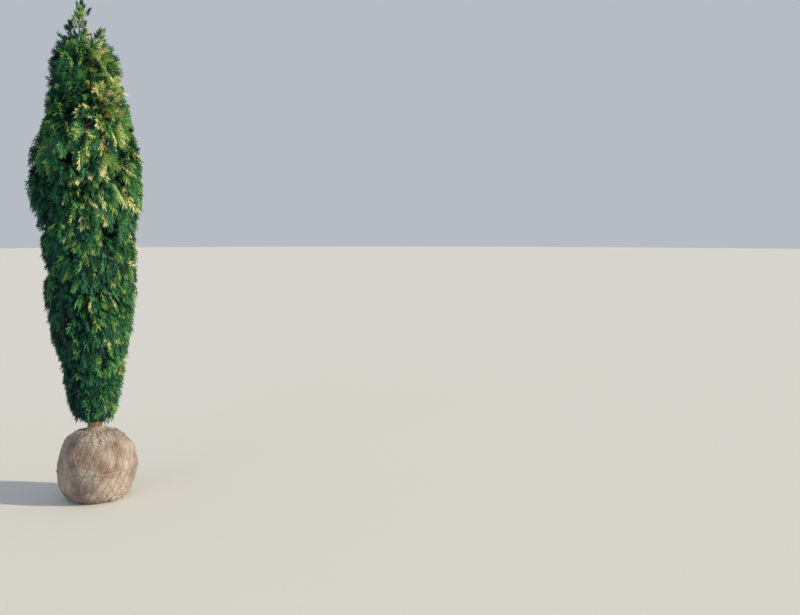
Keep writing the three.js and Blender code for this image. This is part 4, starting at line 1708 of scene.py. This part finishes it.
@dataclass(frozen=True)
class Collar:
    """The sacking gathered round the foot of the trunk, with its frayed edge and its twine."""

    base: float = 0.3803
    gap: float = 0.0008
    tie_height: float = 0.026
    height: float = 0.054
    skirt_radius: float = 0.058
    waist_radius: float = 0.0352
    ruff_radius: float = 0.052
    cloth: float = 0.0018
    vertices: int = 120
    # Heights and radii of the cloth under its twine and over it
    under_tie: tuple[Pair, ...] = ((0.004, 0.052), (0.011, 0.0435), (0.0195, 0.0368))
    over_tie: tuple[Pair, ...] = ((0.0325, 0.0368), (0.040, 0.0425), (0.048, 0.0482))
    tied_radius: float = 0.0345
    # The folds: their count, their depth, how far from the twine they are free, and the ruff's droop
    folds: int = 10
    fold_depth: float = 0.05
    free_after: float = 0.026
    gather: float = 0.0008
    droop: float = 0.006
    droop_from: float = 0.04
    droop_rise: float = 0.014
    # The loose threads of the edge
    threads: int = 210
    thread_seed: int = 5
    thread_inset: float = 0.001
    thread_length: Pair = (0.003, 0.009)
    thread_lean: float = 0.12
    thread_radii: Triple = (0.0005, 0.0004, 0.0002)
    # The twine: its plies and their twists, its knot and its tails
    twine_steps: int = 481
    twine_radius: float = 0.0022
    ply_radius: float = 0.0009
    ply_offset: float = 0.0008
    twists: int = 46
    wind_rise: float = 0.00416
    knot_bearing: float = -1.2
    knot_lift: float = 0.0036
    loop_radii: Pair = (0.0024, 0.0030)
    loop_thickness: float = 0.0012
    loop_tilts: Triple = (0.2, 1.3, 2.3)
    loop_steps: int = 41
    tails: tuple[Pair, ...] = ((-1, 0.034), (1, 0.027))
    tail_out: float = 0.016
    tail_turn: float = 0.35
    tail_drop: float = 0.7
    tail_rise: float = 0.002
    tail_steps: int = 14
    tail_radii: Pair = (0.0013, 0.0009)

    def build(self, sacking: bpy.types.Material, twine: bpy.types.Material) -> None:
        """Build the gathered cloth, its frayed threads and the twine.

        Args:
            sacking: The finish of the cloth.
            twine: The finish of threads and twine.
        """
        self.build_cloth(sacking)
        self.build_fray(twine)
        self.build_twine(twine)

    def rings(self) -> list[Pair]:
        """Give the heights and radii of the cloth from its skirt to its ruff.

        Returns:
            A height over the base and a radius for each ring.
        """
        tie = (self.tie_height, self.tied_radius)
        ruff = (self.height, self.ruff_radius)
        return [(self.gap, self.skirt_radius), *self.under_tie, tie, *self.over_tie, ruff]

    def extruded(self) -> bpy.types.Object:
        """Extrude the cloth from its skirt over its waist to its ruff.

        Returns:
            The cloth, without folds or thickness.
        """
        deselect_all()
        bpy.ops.mesh.primitive_circle_add(
            vertices=self.vertices, radius=self.skirt_radius, location=(0, 0, self.base + self.gap)
        )
        cloth = bpy.context.object
        cloth.name = "collar_cloth"
        bpy.ops.object.mode_set(mode="EDIT")
        bpy.ops.mesh.select_all(action="SELECT")
        rings = self.rings()
        for (last_height, last_radius), (height, radius) in zip(rings[:-1], rings[1:]):
            bpy.ops.mesh.extrude_region_move(TRANSFORM_OT_translate={"value": (0, 0, height - last_height)})
            share = radius / last_radius
            bpy.ops.transform.resize(value=(share, share, 1), center_override=(0, 0, self.base + height))
        bpy.ops.mesh.select_all(action="SELECT")
        bpy.ops.mesh.normals_make_consistent(inside=False)
        bpy.ops.object.mode_set(mode="OBJECT")
        settle_in_place(cloth)
        return cloth

    def folded(self, bearing: np.ndarray) -> np.ndarray:
        """Give how far the folds stand out, uneven round the trunk."""
        swing = self.folds * bearing + 0.9 * np.sin(3 * bearing)
        return np.sin(swing) + 0.5 * np.sin(2.3 * swing + 1)

    def build_cloth(self, sacking: bpy.types.Material) -> None:
        """Fold the cloth, let its ruff droop and give it thickness and threads.

        Args:
            sacking: The finish of the cloth.
        """
        cloth = self.extruded()
        corners = corners_of(cloth)
        bearing = np.arctan2(corners[:, 1], corners[:, 0])
        above = corners[:, 2] - self.base
        free = np.clip(np.abs(above - self.tie_height) / self.free_after, 0, 1)
        out = self.fold_depth * free * self.folded(bearing)
        radius = np.hypot(corners[:, 0], corners[:, 1]) * (1 + out)
        radius = radius - self.gather * np.abs(np.sin(15 * bearing)) * (1 - free)
        loose = np.clip((above - self.droop_from) / self.droop_rise, 0, 1)
        droop = self.droop * loose * np.sin(4 * bearing + 1)
        move_corners(cloth, polar(radius, bearing, corners[:, 2] - np.abs(droop)))
        apply_modifier(cloth, "SOLIDIFY", thickness=self.cloth, offset=-1.0)
        apply_modifier(cloth, "SUBSURF", levels=1, render_levels=1)
        bpy.ops.object.shade_smooth()
        heights, radii = np.array(self.rings()).T
        arc = np.concatenate([[0.0], np.cumsum(np.hypot(np.diff(heights), np.diff(radii)))])
        self.lay_threads(cloth, self.base + heights, arc / arc[-1])
        dress(cloth, sacking, ["sacking_collar"])

    @staticmethod
    def lay_threads(cloth: bpy.types.Object, heights: np.ndarray, shares: np.ndarray) -> None:
        """Lay the cloth's UV map round the trunk, one unit for a turn and one from the skirt to the ruff.

        Args:
            cloth: The cloth, all of four-sided faces.
            heights: Heights from the skirt to the ruff.
            shares: The share of the cloth that lies below each height.
        """
        numbers = np.empty(len(cloth.data.loops), dtype=np.int32)
        cloth.data.loops.foreach_get("vertex_index", numbers)
        corners = corners_of(cloth)[numbers]
        across = (np.arctan2(corners[:, 1], corners[:, 0]) / FULL_TURN % 1).reshape(-1, 4)
        over_seam = np.ptp(across, axis=1, keepdims=True) > 0.5
        across = np.where(over_seam & (across < 0.5), across + 1, across).ravel()
        along = np.interp(corners[:, 2], heights, shares)
        threads = cloth.data.uv_layers.active or cloth.data.uv_layers.new(name="UVMap")
        threads.data.foreach_set("uv", np.stack([across, along], axis=1).ravel())

    def build_fray(self, twine: bpy.types.Material) -> None:
        """Add the loose threads along the ruff's edge.

        Args:
            twine: Their finish.
        """
        numbers = np.random.default_rng(self.thread_seed)
        count = self.threads
        bearing = FULL_TURN * (np.arange(count) + 0.5 * numbers.random(count)) / count
        edge = self.ruff_radius * (1 + self.fold_depth * self.folded(bearing)) - self.thread_inset
        top = self.base + self.height - np.abs(self.droop * np.sin(4 * bearing + 1)) - self.thread_inset
        length = numbers.uniform(*self.thread_length, count)
        lean = numbers.normal(0, self.thread_lean, count)
        start = polar(edge, bearing, top)
        middle = polar(edge + 0.4 * length, bearing + 0.3 * lean, top + 0.6 * length)
        rise = length * numbers.uniform(0.1, 1.0, count)
        end = polar(edge + 0.9 * length, bearing + lean, top + rise)
        threads = JoinedMesh()
        threads.add(np.stack([start, middle, end], axis=1), np.tile(self.thread_radii, (count, 1)), sides=4)
        dress(threads.piece("collar_fray"), twine, ())

    def build_twine(self, twine: bpy.types.Material) -> None:
        """Wind two plies of twine round the waist and tie them with a knot and two tails.

        Args:
            twine: Their finish.
        """
        cord = JoinedMesh()
        tie = self.base + self.tie_height
        along = np.linspace(0, 1, self.twine_steps)
        for turn in (-0.5, 0.5):
            for ply in (0.0, math.pi):
                twist = FULL_TURN * self.twists * along + ply
                radius = self.waist_radius + self.twine_radius + self.ply_offset * np.cos(twist)
                height = tie + self.wind_rise * turn + self.ply_offset * np.sin(twist)
                path = polar(radius, FULL_TURN * along, height)
                cord.add(path[None], np.full((1, self.twine_steps), self.ply_radius), sides=5)
        knot = polar(self.waist_radius + self.knot_lift, self.knot_bearing, tie)
        ring = np.linspace(0, FULL_TURN, self.loop_steps)
        narrow, wide = self.loop_radii
        for tilt in self.loop_tilts:
            x = narrow * np.cos(ring) * math.cos(tilt)
            z = wide * np.cos(ring) * math.sin(tilt)
            loop = knot + np.stack([x, wide * np.sin(ring), z], axis=-1)
            cord.add(loop[None], np.full((1, self.loop_steps), self.loop_thickness), sides=6)
        fall = np.linspace(0, 1, self.tail_steps)
        for side, reach in self.tails:
            radius = self.waist_radius + self.knot_lift + self.tail_out * fall
            height = tie - reach * self.tail_drop * fall**1.4 + self.tail_rise
            tail = polar(radius, self.knot_bearing + side * self.tail_turn * fall, height)
            cord.add(tail[None], np.linspace(*self.tail_radii, self.tail_steps)[None], sides=6)
        dress(cord.piece("collar_twine_cord"), twine, ["collar_twine"])


@dataclass(frozen=True)
class DistantLight:
    """A soft distant light that faces the plant: where it stands, its width in degrees and its strength."""

    name: str
    place: Triple
    spread: float
    strength: float
    colour: Colour
    target: Triple = (0.0, 0.0, 1.4)

    def build(self) -> None:
        """Add the light."""
        light = bpy.data.lights.new(self.name, "SUN")
        light.angle = math.radians(self.spread)
        light.energy = self.strength
        light.color = linear(self.colour)[:3]
        holder = bpy.data.objects.new(self.name, light)
        holder.location = self.place
        aim = np.array(self.target) - np.array(self.place)
        across = math.hypot(aim[0], aim[1])
        holder.rotation_euler = (math.atan2(across, -aim[2]), 0, math.atan2(aim[1], aim[0]) - math.pi / 2)
        bpy.context.scene.collection.objects.link(holder)


@dataclass(frozen=True)
class Studio:
    """The pale floor, the soft light and the camera."""

    camera_place: Triple = (1.675, -4.87, 1.496)
    pitch_down: float = 5.2
    lens: float = 40.5
    sensor: float = 36.0
    view_end: float = 200.0
    floor_radius: float = 60.0
    floor_colour: Colour = (212, 211, 207)
    sky_colour: Colour = (232, 239, 250)
    sky_strength: float = 0.58
    lights: tuple[DistantLight, ...] = (
        DistantLight("key", (5.4, -0.9, 3.4), 3.0, 4.9, (255, 243, 218)),
        DistantLight("fill", (-2.5, -5.0, 3.0), 40.0, 0.45, (232, 240, 255)),
    )

    def build(self) -> None:
        """Set the floor, the sky, the lights and the camera."""
        deselect_all()
        bpy.ops.mesh.primitive_circle_add(vertices=96, radius=self.floor_radius, fill_type="NGON")
        floor = bpy.context.object
        floor.name = "studio_floor"
        material, _, inputs = new_material("pale_floor", roughness=0.9, specular=0.1)
        inputs["Base Color"].default_value = linear(self.floor_colour)
        floor.data.materials.append(material)
        world = bpy.data.worlds.new("studio_world")
        world.use_nodes = True
        background = world.node_tree.nodes["Background"]
        background.inputs["Color"].default_value = linear(self.sky_colour)
        background.inputs["Strength"].default_value = self.sky_strength
        bpy.context.scene.world = world
        for light in self.lights:
            light.build()
        self.build_camera()
        bpy.context.scene.view_settings.view_transform = "Standard"

    def build_camera(self) -> None:
        """Set the camera where the photo was taken from."""
        camera = bpy.data.cameras.new("camera")
        camera.lens = self.lens
        camera.sensor_width = self.sensor
        camera.clip_end = self.view_end
        holder = bpy.data.objects.new("camera", camera)
        holder.location = self.camera_place
        holder.rotation_euler = (math.radians(90 - self.pitch_down), 0, 0)
        bpy.context.scene.collection.objects.link(holder)
        bpy.context.scene.camera = holder


def main() -> None:
    """Dress the solid model: ball, net, collar, trunk, limbs and foliage, and then the studio."""
    logging.basicConfig(level=logging.INFO, format="%(message)s")
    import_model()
    effects = Effects()
    bark = BarkFinish().material(effects)
    twine = TWINE.material(effects)
    ball = RootBall()
    ball.build(BALL_SACKING.material(effects))
    BallNet(ball).build(WIRE.material(effects))
    Collar().build(COLLAR_SACKING.material(effects), twine)
    stem = Stem()
    crown = Crown()
    Trunk(stem).build(bark)
    Foliage(crown, stem, PlumeRule(crown), SprayRule(crown, TintRule(crown))).build(bark)
    Studio().build()


if __name__ == "__main__":
    main()
